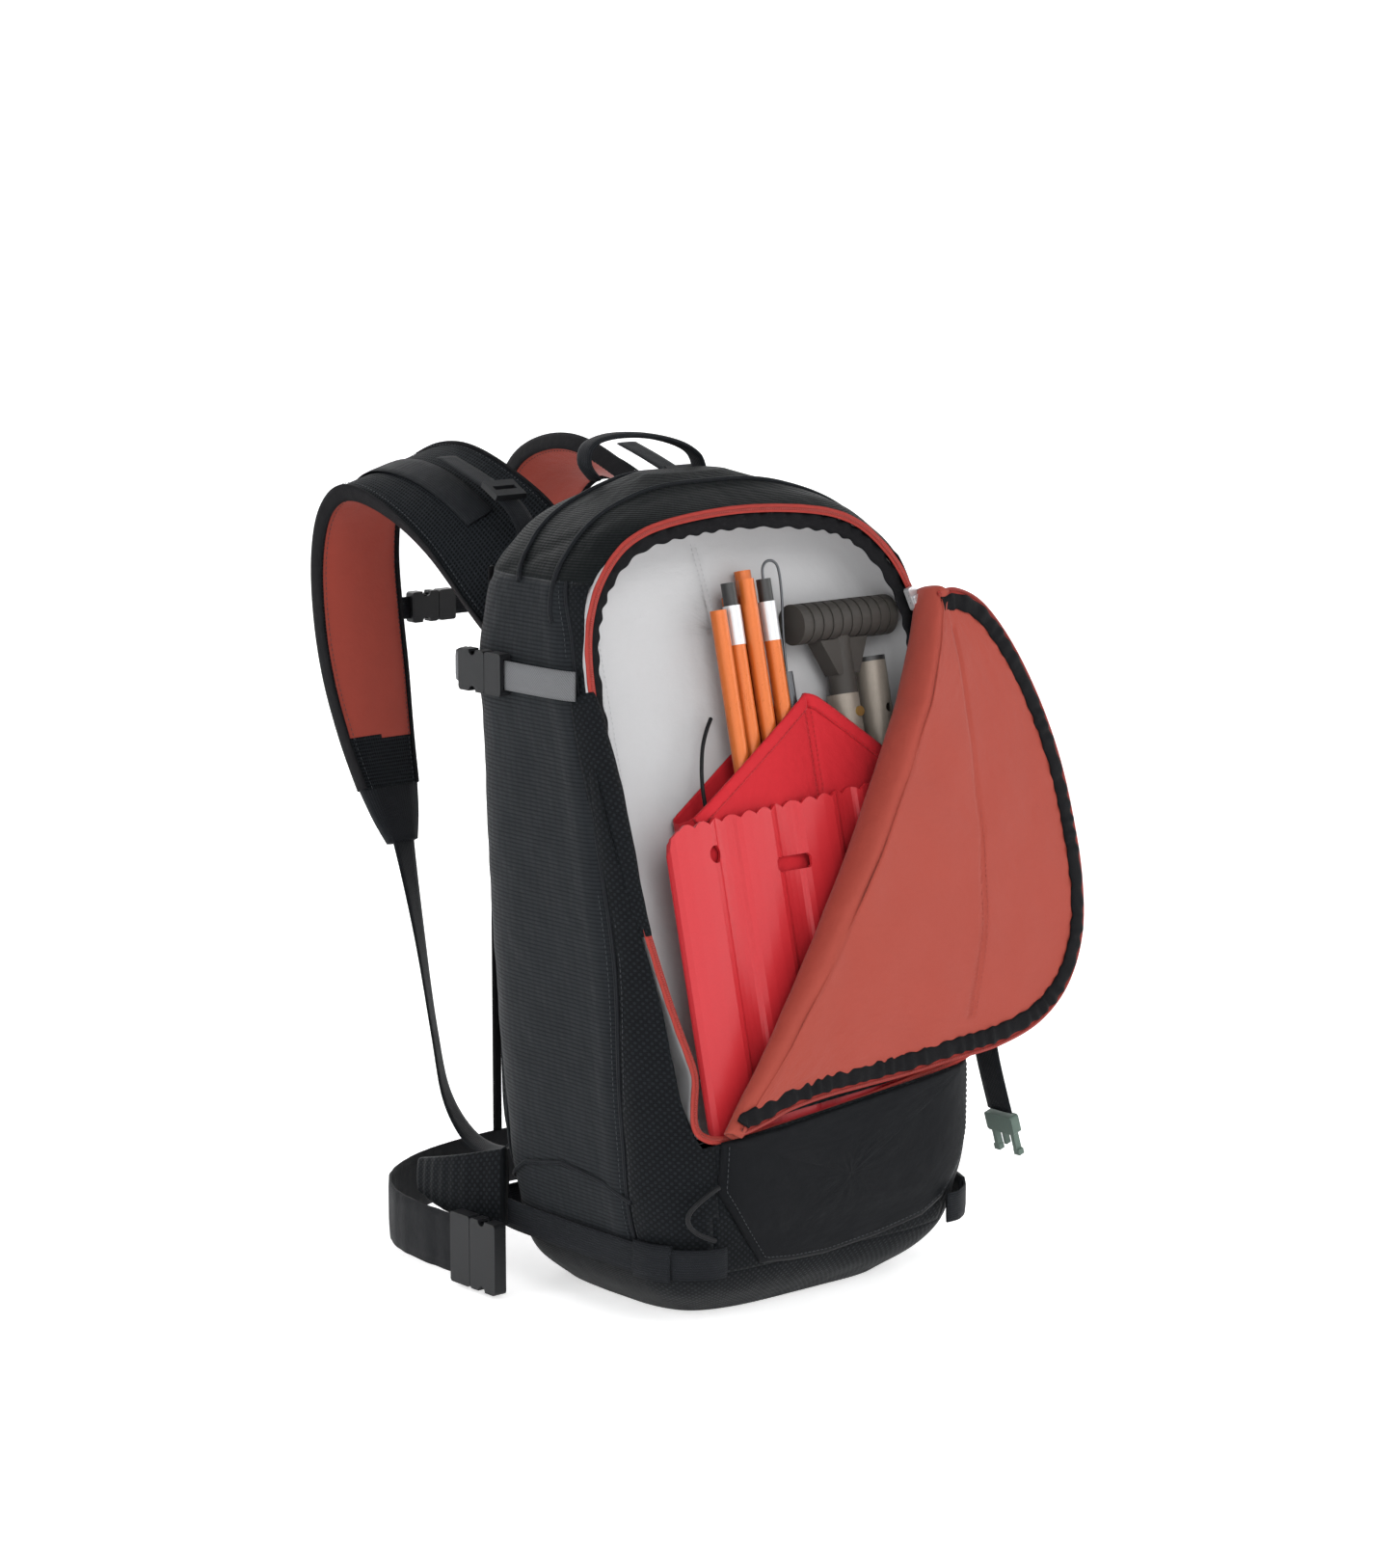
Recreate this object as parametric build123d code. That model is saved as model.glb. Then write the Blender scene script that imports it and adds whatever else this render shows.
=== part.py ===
from build123d import *
import math
import os

os.makedirs("parts", exist_ok=True)

# ---------------------------------------------------------------------------
# Driving dimensions, millimetres. Origin at the centre of the base, +Z up,
# the tool pocket faces -Y and the harness is on +Y.
# ---------------------------------------------------------------------------
WALL = 3.0                      # shell wall
SLOPE = 0.242                   # lean of the pocket opening, dy/dz
RIM_TOP = (492.0, -12.0)        # z, y of the top of the opening
K = math.sqrt(1 + SLOPE * SLOPE)
E_BACK = 4.2                    # squareness of the back half of a section

ZS = [0, 16, 60, 118, 212, 348, 420, 468, 492, 510]
HALF_W = [92, 112, 128, 135, 140, 146, 145, 124, 88, 34]
FRONT_Y = [-72, -92, -107, -107.6, -93.2, -73, -52, -29.5, -9, 30]
BACK_Y = [76, 84, 91, 94, 98, 97, 96, 91, 82, 58]
E_FRONT = [4.2, 4.6, 6, 6, 4.8, 4.2, 4.2, 4.2, 4.2, 3]

# opening outline, (x, z), lower left corner first, clockwise seen from the front
RIM = [(-92, 118), (-106, 165), (-118, 212), (-130, 278), (-138, 348), (-138, 408), (-128, 443),
       (-108, 468), (-84, 482), (-50, 489), (0, 492), (50, 489), (84, 482), (108, 468), (128, 443),
       (138, 408), (138, 348), (133, 278), (126, 212), (120, 165), (112, 136)]

DIV_FRONT, DIV_BACK = -36.0, -38.5      # divider panel, depth behind the opening plane
POCKET_FLOOR = 100.0
DOOR = dict(x=110.0, z0=53.0, z1=470.0, gap=0.8)
HINGE_A = (-93.0, 118.0, 13.0)          # flap fold, x, z, proud of the opening plane
HINGE_B = (134.0, 430.0, 28.0)
FLAP_OPEN_DEG = 185.0


# ---------------------------------------------------------------------------
# Helpers
# ---------------------------------------------------------------------------
def lerp(z, ys):
    for i in range(len(ZS) - 1):
        if z <= ZS[i + 1]:
            t = (z - ZS[i]) / (ZS[i + 1] - ZS[i])
            return ys[i] + t * (ys[i + 1] - ys[i])
    return ys[-1]


def section(z, off, n=28):
    """Closed section of the bag at height z, taken in by off."""
    w = lerp(z, HALF_W) - off
    f, b = lerp(z, FRONT_Y) + off, lerp(z, BACK_Y) - off
    ef = lerp(z, E_FRONT)
    c, h = (f + b) / 2, (b - f) / 2
    pts = []
    for k in range(n):
        a = 2 * math.pi * (k + 0.5) / n
        a -= 0.14 * math.sin(4 * a)      # more points at the corners
        ca, sa = math.cos(a), math.sin(a)
        ca, sa = ca * w, sa * h
        ln = math.hypot(ca, sa)
        ca, sa = ca / ln, sa / ln
        e = E_BACK if sa > 0 else ef
        r = (abs(ca / w) ** e + abs(sa / h) ** e) ** (-1 / e)
        pts.append((r * ca, c + r * sa, z))
    return pts


def bag(off, z_lo, z_hi):
    zs = [z_lo] + [z for z in ZS if z_lo + 6 < z < z_hi - 5] + [z_hi]
    wires = [Wire([Edge.make_spline([Vector(*p) for p in section(z, off)], periodic=True)]) for z in zs]
    return Solid.make_loft(wires, ruled=False)


def rim_plane(h=0.0):
    """Plane of the opening: local x = X, local y = up the slope, local z = outwards."""
    n = Vector(0, -1 / K, SLOPE / K)
    o = Vector(0, RIM_TOP[1] - SLOPE * RIM_TOP[0], 0) + n * h
    return Plane(origin=o, x_dir=(1, 0, 0), z_dir=n)


def on_rim(x, z, h=0.0):
    n = Vector(0, -1 / K, SLOPE / K)
    return Vector(x, RIM_TOP[1] - SLOPE * (RIM_TOP[0] - z), z) + n * h


def v_of(z):
    """Distance up the slope of a point of the opening plane at height z."""
    return z * K


def catmull(pts, per=6, closed=False):
    out, n = [], len(pts)
    segs = n if closed else n - 1
    for i in range(segs):
        p = [pts[(i + j - 1) % n] if closed else pts[min(max(i + j - 1, 0), n - 1)] for j in range(4)]
        for s in range(per):
            t = s / per
            out.append(tuple(0.5 * (2 * b + (c - a) * t + (2 * a - 5 * b + 4 * c - d) * t * t
                                    + (3 * b - a - 3 * c + d) * t ** 3) for a, b, c, d in zip(*p)))
    if not closed:
        out.append(pts[-1])
    return out


def offset_poly(pts, d, closed=True):
    """Points moved d to the left of the direction of travel."""
    n, out = len(pts), []
    for i, p in enumerate(pts):
        a = pts[(i - 1) % n] if closed or i > 0 else p
        b = pts[(i + 1) % n] if closed or i < n - 1 else p
        dx, dy = b[0] - a[0], b[1] - a[1]
        ln = math.hypot(dx, dy)
        out.append((p[0] - dy / ln * d, p[1] + dx / ln * d))
    return out


def poly_prism(plane, pts, depth):
    """Prism on a closed polygon, from the plane to depth along its normal."""
    face = plane * Face(Wire.make_polygon([Vector(x, y, 0) for x, y in pts], close=True))
    return extrude(face, amount=depth, dir=plane.z_dir)


def ribbon(plane, pts, thick, width, per=5, taper=None):
    """A bent strip: the path lies in the plane, the width runs along its normal."""
    mid = catmull(pts, per)
    a, b = offset_poly(mid, thick / 2, False), offset_poly(mid, -thick / 2, False)
    ea = Edge.make_spline([Vector(x, y, 0) for x, y in a])
    eb = Edge.make_spline([Vector(x, y, 0) for x, y in b[::-1]])
    w = Wire([ea, Edge.make_line(ea @ 1, eb @ 0), eb, Edge.make_line(eb @ 1, ea @ 0)])
    return extrude(plane * Face(w), amount=width, dir=plane.z_dir)


def block(x0, x1, y0, y1, z0, z1):
    return Pos((x0 + x1) / 2, (y0 + y1) / 2, (z0 + z1) / 2) * Box(x1 - x0, y1 - y0, z1 - z0)


def rblock(x0, x1, y0, y1, z0, z1, r, axis="z"):
    b = block(x0, x1, y0, y1, z0, z1)
    es = b.edges().filter_by({"x": Axis.X, "y": Axis.Y, "z": Axis.Z}[axis])
    return fillet(es, r)


def rim_cyl(x, h, z0, z1, r):
    """Round bar along the slope at (x, h) between heights z0 and z1."""
    pl = Plane(origin=on_rim(x, z0, h), x_dir=(1, 0, 0), z_dir=Vector(0, SLOPE / K, 1 / K))
    return extrude(pl * Circle(r), amount=(z1 - z0) * K, dir=pl.z_dir)


def solid(s):
    """The largest solid of a result, with tiny leftovers dropped."""
    sl = [q for q in s.solids()]
    sl.sort(key=lambda q: -q.volume)
    return sl[0]


def mir(s):
    return mirror(s, about=Plane.YZ)


def pair(s):
    """The left piece and its mirror image, as one node of two solids."""
    return Compound(children=[s, mir(s)])


NODES = {}


def keep(name, shape):
    NODES[name] = shape
    export_step(shape, f"parts/{name}.step")
    bb = shape.bounding_box()
    print(f"{name:28s} vol {shape.volume:10.1f} solids {len(shape.solids())} "
          f"x {bb.min.X:.0f}..{bb.max.X:.0f} y {bb.min.Y:.0f}..{bb.max.Y:.0f} z {bb.min.Z:.1f}..{bb.max.Z:.1f}", flush=True)


BIG = 700
# ---------------------------------------------------------------------------
# The bag
# ---------------------------------------------------------------------------
outer = bag(0, 0, 510)
inner = bag(WALL, 3.0, 500)
skin = outer - inner

rim2d = [(x, v_of(z)) for x, z in RIM]
opening = poly_prism(rim_plane(-16), rim2d, 70)
dx, dz0, dz1, g = DOOR["x"], DOOR["z0"], DOOR["z1"], DOOR["gap"]
door_hole = rblock(-dx, dx, 40, 130, dz0, dz1, 22, "y")
shell = skin - opening - door_hole

SPLIT_X = 97.0
Z_TUB, Z_TOP = 50.0, 455.0
keep("base_tub", solid(shell & block(-BIG, BIG, -BIG, BIG, -1, Z_TUB)))
keep("top_panel", solid(shell & block(-BIG, BIG, -BIG, BIG, Z_TOP, 600)))
mid = shell & block(-BIG, BIG, -BIG, BIG, Z_TUB, Z_TOP)
keep("side_panel_left", solid(mid & block(-BIG, -SPLIT_X, -BIG, BIG, 0, 600)))
keep("side_panel_right", solid(mid & block(SPLIT_X, BIG, -BIG, BIG, 0, 600)))
keep("lower_front_panel", solid(mid & block(-SPLIT_X, SPLIT_X, -BIG, 0, 0, 600)))

# divider between the tool pocket and the main compartment, and the pocket floor
DIV = [(-126, 101), (-132, 165), (-135, 278), (-139, 348), (-139, 408), (-130, 443), (-110, 466), (-80, 482), (-40, 489)]
div2d = [(x, v_of(z)) for x, z in DIV + [(-x, z) for x, z in DIV[::-1]]]
keep("divider_panel", poly_prism(rim_plane(DIV_BACK), div2d, DIV_FRONT - DIV_BACK))
FLOOR = [(-121, -71), (-122, -82), (-112, -94), (-96, -99)]
floor2d = FLOOR + [(-x, y) for x, y in FLOOR[::-1]]
keep("pocket_floor", poly_prism(Plane(origin=(0, 0, POCKET_FLOOR - 3)), floor2d, 3))

# zip round the opening, and the gathered binding along its upper part
ring_in = offset_poly(rim2d, -7)
zip_ring = poly_prism(rim_plane(-2), rim2d, 2.8) - poly_prism(rim_plane(-3), ring_in, 6)
keep("opening_zip", solid(zip_ring))
bind_out, bind_in = offset_poly(rim2d, -1.5), offset_poly(rim2d, -8)
binding = (poly_prism(rim_plane(-6), bind_out, 4) - poly_prism(rim_plane(-9), bind_in, 8)) - shell
keep("opening_binding", solid(binding & block(-BIG, BIG, -BIG, BIG, 322, 600)))

# ---------------------------------------------------------------------------
# Divided tool sleeve
# ---------------------------------------------------------------------------
SLV = [(-66, 150), (-66, 308), (-62, 311), (36, 372), (42, 376), (48, 373), (114, 323), (122, 317), (122, 150)]
SEAM_X = 42.0
slv2d = [(x, v_of(z)) for x, z in SLV]
sleeve = poly_prism(rim_plane(DIV_FRONT), slv2d, 25.5)
cell = [(-64.5, v_of(151.5)), (-64.5, v_of(460)), (SEAM_X - 0.75, v_of(460)), (SEAM_X - 0.75, v_of(151.5))]
cell_r = [(SEAM_X + 0.75, v_of(151.5)), (SEAM_X + 0.75, v_of(460)), (120.5, v_of(460)), (120.5, v_of(151.5))]
for c in (cell, cell_r):
    sleeve = sleeve - poly_prism(rim_plane(-34.5), c, 22.5)
keep("tool_sleeve", solid(sleeve))

# ---------------------------------------------------------------------------
# Flap: a fixed lower corner, a rolled fold and the panel that swings
# ---------------------------------------------------------------------------
A, B = on_rim(*HINGE_A), on_rim(*HINGE_B)
axis = (B - A).normalized()
n_rim = rim_plane().z_dir
side = n_rim.cross(axis).normalized()
if side.X > 0:
    side = side * -1


def turned(v, deg):
    a = math.radians(deg)
    return v * math.cos(a) + axis.cross(v) * math.sin(a) + axis * axis.dot(v) * (1 - math.cos(a))


flap_dir = turned(side, FLAP_OPEN_DEG)
print("flap hinge at", [round(c, 3) for c in (A.X, A.Y, A.Z)], "axis", [round(c, 6) for c in (axis.X, axis.Y, axis.Z)],
      "length", round((B - A).length, 2), "dir", [round(c, 5) for c in (flap_dir.X, flap_dir.Y, flap_dir.Z)])
# local x runs along the fold, local y away from it; the lining faces local +z or -z
FP = Plane(origin=A, x_dir=axis, z_dir=axis.cross(flap_dir))
FLAP = [(10, 2), (24, 16), (42, 32), (62, 55), (84, 84), (108, 116), (134, 148), (160, 180), (190, 206), (222, 218),
        (256, 215), (288, 198), (318, 173), (346, 144), (370, 110), (389, 72), (398, 38), (394, 14), (384, 2)]


def fp(h):
    return Plane(origin=A + FP.z_dir * h, x_dir=axis, z_dir=FP.z_dir)


flap2d = catmull(FLAP, 3)
flap_in = offset_poly(flap2d, -9, False)
flap_in = [(min(max(q, 12), 382), p) for q, p in flap_in if p > 2]
core = [(q, p) for q, p in flap_in]
core = [(core[0][0], 2)] + core + [(core[-1][0], 2)]
core_prism = poly_prism(fp(-5), core, 10)
slab_o = poly_prism(fp(-1.6), flap2d, 1.6)
slab_i = poly_prism(fp(0), flap2d, 1.6)
edge_band = poly_prism(fp(-1.9), flap2d, 3.8)
body_lin, body_out = slab_o & core_prism, slab_i & core_prism
keep("flap_lining", solid(body_lin))
keep("flap_outer", solid(body_out))
keep("flap_binding", solid(edge_band - core_prism))

base = [(-84, 121), (-30, 127), (40, 131), (100, 137), (109, 150), (114, 180), (120, 230), (127, 290), (130, 350), (128, 392), (118, 410)]
base2d = [(x, v_of(z)) for x, z in base]
keep("flap_base_panel", solid(poly_prism(rim_plane(0.8), base2d, 1.4)))
# stiff gusset that carries the fold line, a wedge standing on the base panel
gx0, gz0, gx1, gz1 = -76.0, 132.5, 114.0, 405.0
gpl = Plane(origin=on_rim(gx0, gz0, 2.2), x_dir=(on_rim(gx1, gz1, 2.2) - on_rim(gx0, gz0, 2.2)).normalized(),
            z_dir=((on_rim(gx1, gz1, 2.2) - on_rim(gx0, gz0, 2.2)).normalized()).cross(n_rim))
glen = (on_rim(gx1, gz1, 2.2) - on_rim(gx0, gz0, 2.2)).length
gus = poly_prism(Plane(origin=gpl.origin + gpl.z_dir * 1.0, x_dir=gpl.x_dir, z_dir=gpl.z_dir), [(0, 0), (glen, 0), (glen, 20.0), (0, 7.0)], 3.0)
keep("flap_fold_gusset", solid(gus))

# ---------------------------------------------------------------------------
# Shovel blade
# ---------------------------------------------------------------------------
BL_L, BL_R = -91.0, 104.0
PROFILE = [(-91, -9), (-86.5, -5.4), (-58, -5.2), (-51, -8.4), (-39, -8.4), (-32, -5.2), (-8, -5.2), (-1, -8.4), (11, -8.4),
           (18, -5.2), (44, -5.2), (51, -8.4), (63, -8.4), (70, -5.2), (99.5, -5.4), (104, -9)]
prof = catmull(PROFILE, 3)
pa, pb = offset_poly(prof, 1.1, False), offset_poly(prof, -1.1, False)
sec = Plane(origin=on_rim(0, 108, 0), x_dir=(1, 0, 0), z_dir=Vector(0, SLOPE / K, 1 / K))
# local y of this plane points outwards from the opening or inwards: flip by its direction
sgn = 1 if sec.y_dir.dot(n_rim) > 0 else -1
face = sec * Face(Wire.make_polygon([Vector(x, sgn * y, 0) for x, y in pa + pb[::-1]], close=True))
sheet = extrude(face, amount=215 * K, dir=sec.z_dir)
top = [(x, 303.5 + (x + 85) * 0.055 + 3.0 * abs(math.sin((x + 83) / 12.6 * math.pi))) for x in [(-83 + 1.575 * i) for i in range(0, 118)]]
out2d = [(-92, 126), (-92.5, 200), (-92, 290), (-89, 300), (-84, 304)] + [p for p in top if p[0] < 97] + [(103, 306), (105, 296), (105, 130), (96, 109), (-82, 109), (-90, 114)]
blade = sheet & poly_prism(rim_plane(-12), [(x, v_of(z)) for x, z in out2d], 12)
blade = blade - poly_prism(rim_plane(-12), [(-56 + 5.5 * math.cos(a), v_of(287) + 5.5 * math.sin(a)) for a in [i * math.pi / 12 for i in range(24)]], 12)
blade = blade - poly_prism(rim_plane(-12), [(-7, v_of(270)), (-9, v_of(272)), (-9, v_of(277)), (-7, v_of(279)), (17, v_of(279)), (19, v_of(277)), (19, v_of(272)), (17, v_of(270))], 12)
keep("shovel_blade", solid(blade))

# ---------------------------------------------------------------------------
# Shovel handle: grip, stem, shaft and lock button
# ---------------------------------------------------------------------------
HX, HH, TR = 82.0, -23.2, 10.4
GZ, GH = 418.0, -19.5
GRIP_L = 80.0
gp = Plane(origin=on_rim(45, GZ, GH), x_dir=(0, 0, 1), z_dir=(1, 0, 0))
grip = extrude(gp * Circle(13.0), amount=GRIP_L, dir=(1, 0, 0))
for k in range(9):
    x = 45 + 7 + 8.1 * k
    ring = extrude(Plane(origin=on_rim(x, GZ, GH), x_dir=(0, 0, 1), z_dir=(1, 0, 0)) * (Circle(13.5) - Circle(12.2)), amount=1.6, dir=(1, 0, 0))
    grip = grip - ring
keep("grip", solid(grip))
stem = rim_cyl(HX, HH + 2, 372, 411, 9.0)
neck = poly_prism(rim_plane(GH - 7), [(HX - 20, v_of(406)), (HX - 9, v_of(384)), (HX + 9, v_of(384)), (HX + 20, v_of(406))], 13)
keep("grip_stem", solid((stem + neck) - extrude(gp * Circle(13.0), amount=GRIP_L, dir=(1, 0, 0))))
shaft = rim_cyl(HX, HH, 156, 372, TR) - rim_cyl(HX, HH, 150, 365, TR - 1.5)
shaft = shaft - extrude(Plane(origin=on_rim(HX + 3, 360, HH), x_dir=(1, 0, 0), z_dir=n_rim) * Circle(3.2), amount=14, dir=n_rim)
keep("shovel_shaft", solid(shaft))
btn = extrude(Plane(origin=on_rim(HX + 3, 360, HH + 7.2), x_dir=(1, 0, 0), z_dir=n_rim) * Circle(3.2), amount=4.4, dir=n_rim)
keep("shaft_button", solid(btn - extrude(Plane(origin=on_rim(HX, 340, HH), x_dir=(1, 0, 0), z_dir=Vector(0, SLOPE / K, 1 / K)) * Circle(7.6), amount=40, dir=Vector(0, SLOPE / K, 1 / K))))

# extension tube with end plug and button
EX = 109.0
ext = rim_cyl(EX, HH, 156, 390, TR) - rim_cyl(EX, HH, 150, 400, TR - 1.5)
ext = ext - extrude(Plane(origin=on_rim(EX + 2, 360, HH), x_dir=(1, 0, 0), z_dir=n_rim) * Circle(3.0), amount=14, dir=n_rim)
keep("extension_tube", solid(ext))
keep("tube_plug", solid(rim_cyl(EX, HH, 372, 390, TR - 1.5) + rim_cyl(EX, HH, 390, 393, TR)))

# ---------------------------------------------------------------------------
# Probe: folded segments, ferrules, tips and clip
# ---------------------------------------------------------------------------
PR = 5.3
SEG = [(-14, -18.2, 432, False), (-1, -20.2, 410, True), (12, -18.2, 449, False), (26.5, -18.2, 410, True), (19.5, -28.9, 455, False), (6.2, -29.1, 440, False)]
segs, ferr, tips = None, None, None
for x, h, zt, tip in SEG:
    c = rim_cyl(x, h, 156, zt, PR)
    segs = c if segs is None else segs + c
    if tip:
        f = rim_cyl(x, h, zt, zt + 24, PR + 0.4)
        t = rim_cyl(x, h, zt + 24, zt + 38, PR - 0.6)
        ferr = f if ferr is None else ferr + f
        tips = t if tips is None else tips + t
keep("probe_segments", segs)
keep("probe_ferrules", ferr)
keep("probe_tips", tips)
keep("cable_lock", rim_cyl(36.6, -21.0, 352, 390, 3.8))

# ---------------------------------------------------------------------------
# Back door: the cut-out piece of the back wall with its pad and the harness
# ---------------------------------------------------------------------------
keep("back_door_panel", rblock(-dx + g, dx - g, 86, 91.5, dz0 + g, dz1 - g, 22 - g, "y"))
pad = rblock(-100, 100, 98.3, 111, 62, 388, 26, "y")
pad = pad - rblock(-13, 13, 106, 130, 40, 400, 5, "z")
pad = pad + rblock(-96, 96, 91.5, 98.3, 66, 384, 24, "y")
keep("back_pad", solid(pad))
keep("harness_yoke", rblock(-108, 108, 91.5, 101, 396, 467, 16, "y"))

# shoulder strap: inner and outer edge of the pad at each station, mirrored for the right
IN_EDGE = [(-38, 101.3, 462), (-40, 129, 487), (-42, 188, 510), (-42, 230, 513), (-42, 268, 499), (-42, 289, 471),
           (-42, 294, 440), (-42, 290, 400), (-44, 281, 360), (-50, 268, 320), (-55, 256, 287)]
OUT_EDGE = [(-104, 101.3, 402), (-108, 122, 420), (-110, 168, 457), (-110, 215, 479), (-110, 255, 486), (-109, 281, 471),
            (-108, 293, 440), (-108, 292, 400), (-107, 284, 360), (-104, 270, 320), (-99, 257, 287)]
PAD_T = 12.0


def pad_section(i, ins, outs, t):
    a, b = Vector(*ins[i]), Vector(*outs[i])
    j0, j1 = max(i - 1, 0), min(i + 1, len(ins) - 1)
    mid0 = (Vector(*ins[j0]) + Vector(*outs[j0])) * 0.5
    mid1 = (Vector(*ins[j1]) + Vector(*outs[j1])) * 0.5
    nrm = (mid1 - mid0).cross(b - a).normalized() * (t / 2)
    if i == 0:
        nrm = Vector(0, 0, 1).cross((b - a).normalized()).normalized()
        nrm = Vector(nrm.X, 0, nrm.Z)
        d = (b - a)
        nrm = Vector(-d.Z, 0, d.X).normalized() * (t / 2)
        ref = (mid1 - mid0).cross(b - a)
        if nrm.dot(ref) < 0:
            nrm = nrm * -1
    return Wire.make_polygon([a + nrm, b + nrm, b - nrm, a - nrm], close=True)


def strap(ins, outs, t, smooth=True):
    return Solid.make_loft([pad_section(i, ins, outs, t) for i in range(len(ins))], ruled=not smooth)


st = strap(IN_EDGE, OUT_EDGE, PAD_T, False)
keep("shoulder_strap_left", st)
keep("shoulder_strap_right", mir(st))
tip_in = [(-55, 256, 287), (-60, 248, 268), (-66, 241, 252)]
tip_out = [(-99, 257, 287), (-94, 249, 268), (-88, 242, 252)]


def tip_loft():
    w = []
    for i, (p, q) in enumerate(zip(tip_in, tip_out)):
        if i == 0:
            w.append(pad_section(len(IN_EDGE) - 1, IN_EDGE, OUT_EDGE, PAD_T))
        else:
            w.append(pad_section(i, tip_in, tip_out, PAD_T - 3.5 * i))
    return Solid.make_loft(w, ruled=True)


tp = tip_loft()
keep("strap_tips", pair(tp))



def at_x(x):
    return Plane(origin=(x, 0, 0), x_dir=(0, 1, 0), z_dir=(1, 0, 0))


low = ribbon(at_x(-87), [(239.6, 250.5), (224, 193), (208, 128), (195, 88), (170, 65), (140, 61), (112.2, 74)], 1.6, 20)
keep("shoulder_webbing", pair(solid(low - pad)))
lift = ribbon(at_x(-83), [(102.0, 463), (109, 477), (127, 491), (160, 503), (192, 512)], 1.6, 16)
keep("load_lifters", pair(solid(lift - st)))
lad = Pos(-75, 129.5, 495.9) * Rot(28, 0, 0) * Box(24, 17, 4)
lad = lad - Pos(-75, 129.5, 495.9) * Rot(28, 0, 0) * Box(17, 4, 6)
keep("ladder_locks", pair(solid(lad - lift)))
rail = ribbon(at_x(-53), [(300.6, 440), (299.4, 400), (290.6, 362)], 1.2, 7)
keep("sternum_rails", pair(solid(rail)))


# ---------------------------------------------------------------------------
# Side-release buckles. Local x along the webbing, mouth of the socket at x = 0
# ---------------------------------------------------------------------------
def buckle(pl, w, t, lf, lm, web_w, web_t, prong):
    sock = Pos(-lf / 2, 0, 0) * Box(lf, w, t)
    sock = fillet(sock.edges().filter_by(Axis.Z), 2.4)
    cav = Pos(-(lf - 4) / 2 + 0.01, 0, 0) * Box(lf - 4, w - 3.2, t - 2.8)
    sock = sock - cav
    sock = sock - Pos(-lf / 2 + 1, w / 2, 0) * Cylinder(3.4, t + 1) - Pos(-lf / 2 + 1, -w / 2, 0) * Cylinder(3.4, t + 1)
    male = Pos(0.5 + lm / 2, 0, 0) * Box(lm, w, t)
    male = fillet(male.edges().filter_by(Axis.Z), 2.0)
    for s in (1, -1):
        male = male + Pos(-prong / 2 + 0.6, s * (w / 2 - 3.9), 0) * Box(prong, 2.6, t - 3.6)
    male = male + Pos(-prong / 4 + 0.6, 0, 0) * Box(prong / 2, 2.0, t - 3.6)
    chan = Pos(lm / 2 + 3.5, 0, 0) * Box(lm, web_w + 1.0, web_t + 1.0)
    male = male - chan
    return pl * sock, pl * male


# sternum strap: two webbings, the clips on the rails and a small buckle
SZ, SY = 398.0, 303.2
stw, stt = 15.0, 1.4
bp = Plane(origin=(-2, SY, SZ), x_dir=(1, 0, 0), z_dir=(0, -1, 0))
fem, mal = buckle(bp, 21, 7.5, 22, 14, stw, stt, 9.5)
keep("sternum_socket", solid(fem))
keep("sternum_plug", solid(mal))
swl = block(-44, -24, SY - stt / 2, SY + stt / 2, SZ - stw / 2, SZ + stw / 2)
swr = block(11.8, 44, SY - stt / 2, SY + stt / 2, SZ - stw / 2, SZ + stw / 2)
keep("sternum_webbing", Compound(children=[swl, swr]))
clipb = block(-56, -44, 301.3, 305.6, SZ - 9, SZ + 9)
keep("sternum_clips", pair(clipb))

# ---------------------------------------------------------------------------
# Compression straps, both sides
# ---------------------------------------------------------------------------
CZ, CX = 396.0, -151.6
cw, ct = 18.0, 1.6
path = [(-140.0, -47), (-144.2, -41), (-148.8, -28), (-151.2, -8), (CX, 10), (CX, 20), (CX, 30.2)]
web = ribbon(Plane(origin=(0, 0, CZ - cw / 2)), path, ct, cw) - outer
web = solid(web)
bp = Plane(origin=(CX, 46, CZ), x_dir=(0, -1, 0), z_dir=(-1, 0, 0))
fem, mal = buckle(bp, 26, 8.0, 26, 16, cw, ct, 11)
keep("compression_sockets", pair(solid(fem)))
keep("compression_plug_left", solid(mal))
keep("compression_plug_right", solid(mir(mal)))
rear = ribbon(Plane(origin=(0, 0, CZ - cw / 2)), [(CX, 72.1), (CX + 0.3, 76), (-147.5, 84), (-140, 90), (-132, 93.5)], ct, cw) - outer
rear = solid(rear)
keep("compression_webbing", Compound(children=[web, rear, mir(web), mir(rear)]))

# ---------------------------------------------------------------------------
# Hip belt: wings on the bag, a closed webbing ring with its buckle
# ---------------------------------------------------------------------------
BASE_STRAP = [(-98, 88), (-118, 84), (-127.5, 62), (-129.3, 20), (-129.3, -40), (-127.5, -75), (-120, -96), (-104, -108.5), (-92, -109.6)]
bs = solid(ribbon(Plane(origin=(0, 0, 36)), BASE_STRAP, 1.8, 19) - outer)
wing = ribbon(Plane(origin=(0, 0, 34)), [(-129.5, 60), (-135, 74), (-140.5, 90), (-143, 112), (-140, 138)], 9, 56)
wing = wing - outer
cutw = extrude(Plane(origin=(-200, 0, 0), x_dir=(0, 1, 0), z_dir=(1, 0, 0)) * Face(Wire.make_polygon(
    [Vector(60, 91, 0), Vector(150, 66, 0), Vector(150, 120, 0), Vector(60, 120, 0)], close=True)), amount=120, dir=(1, 0, 0))
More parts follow.
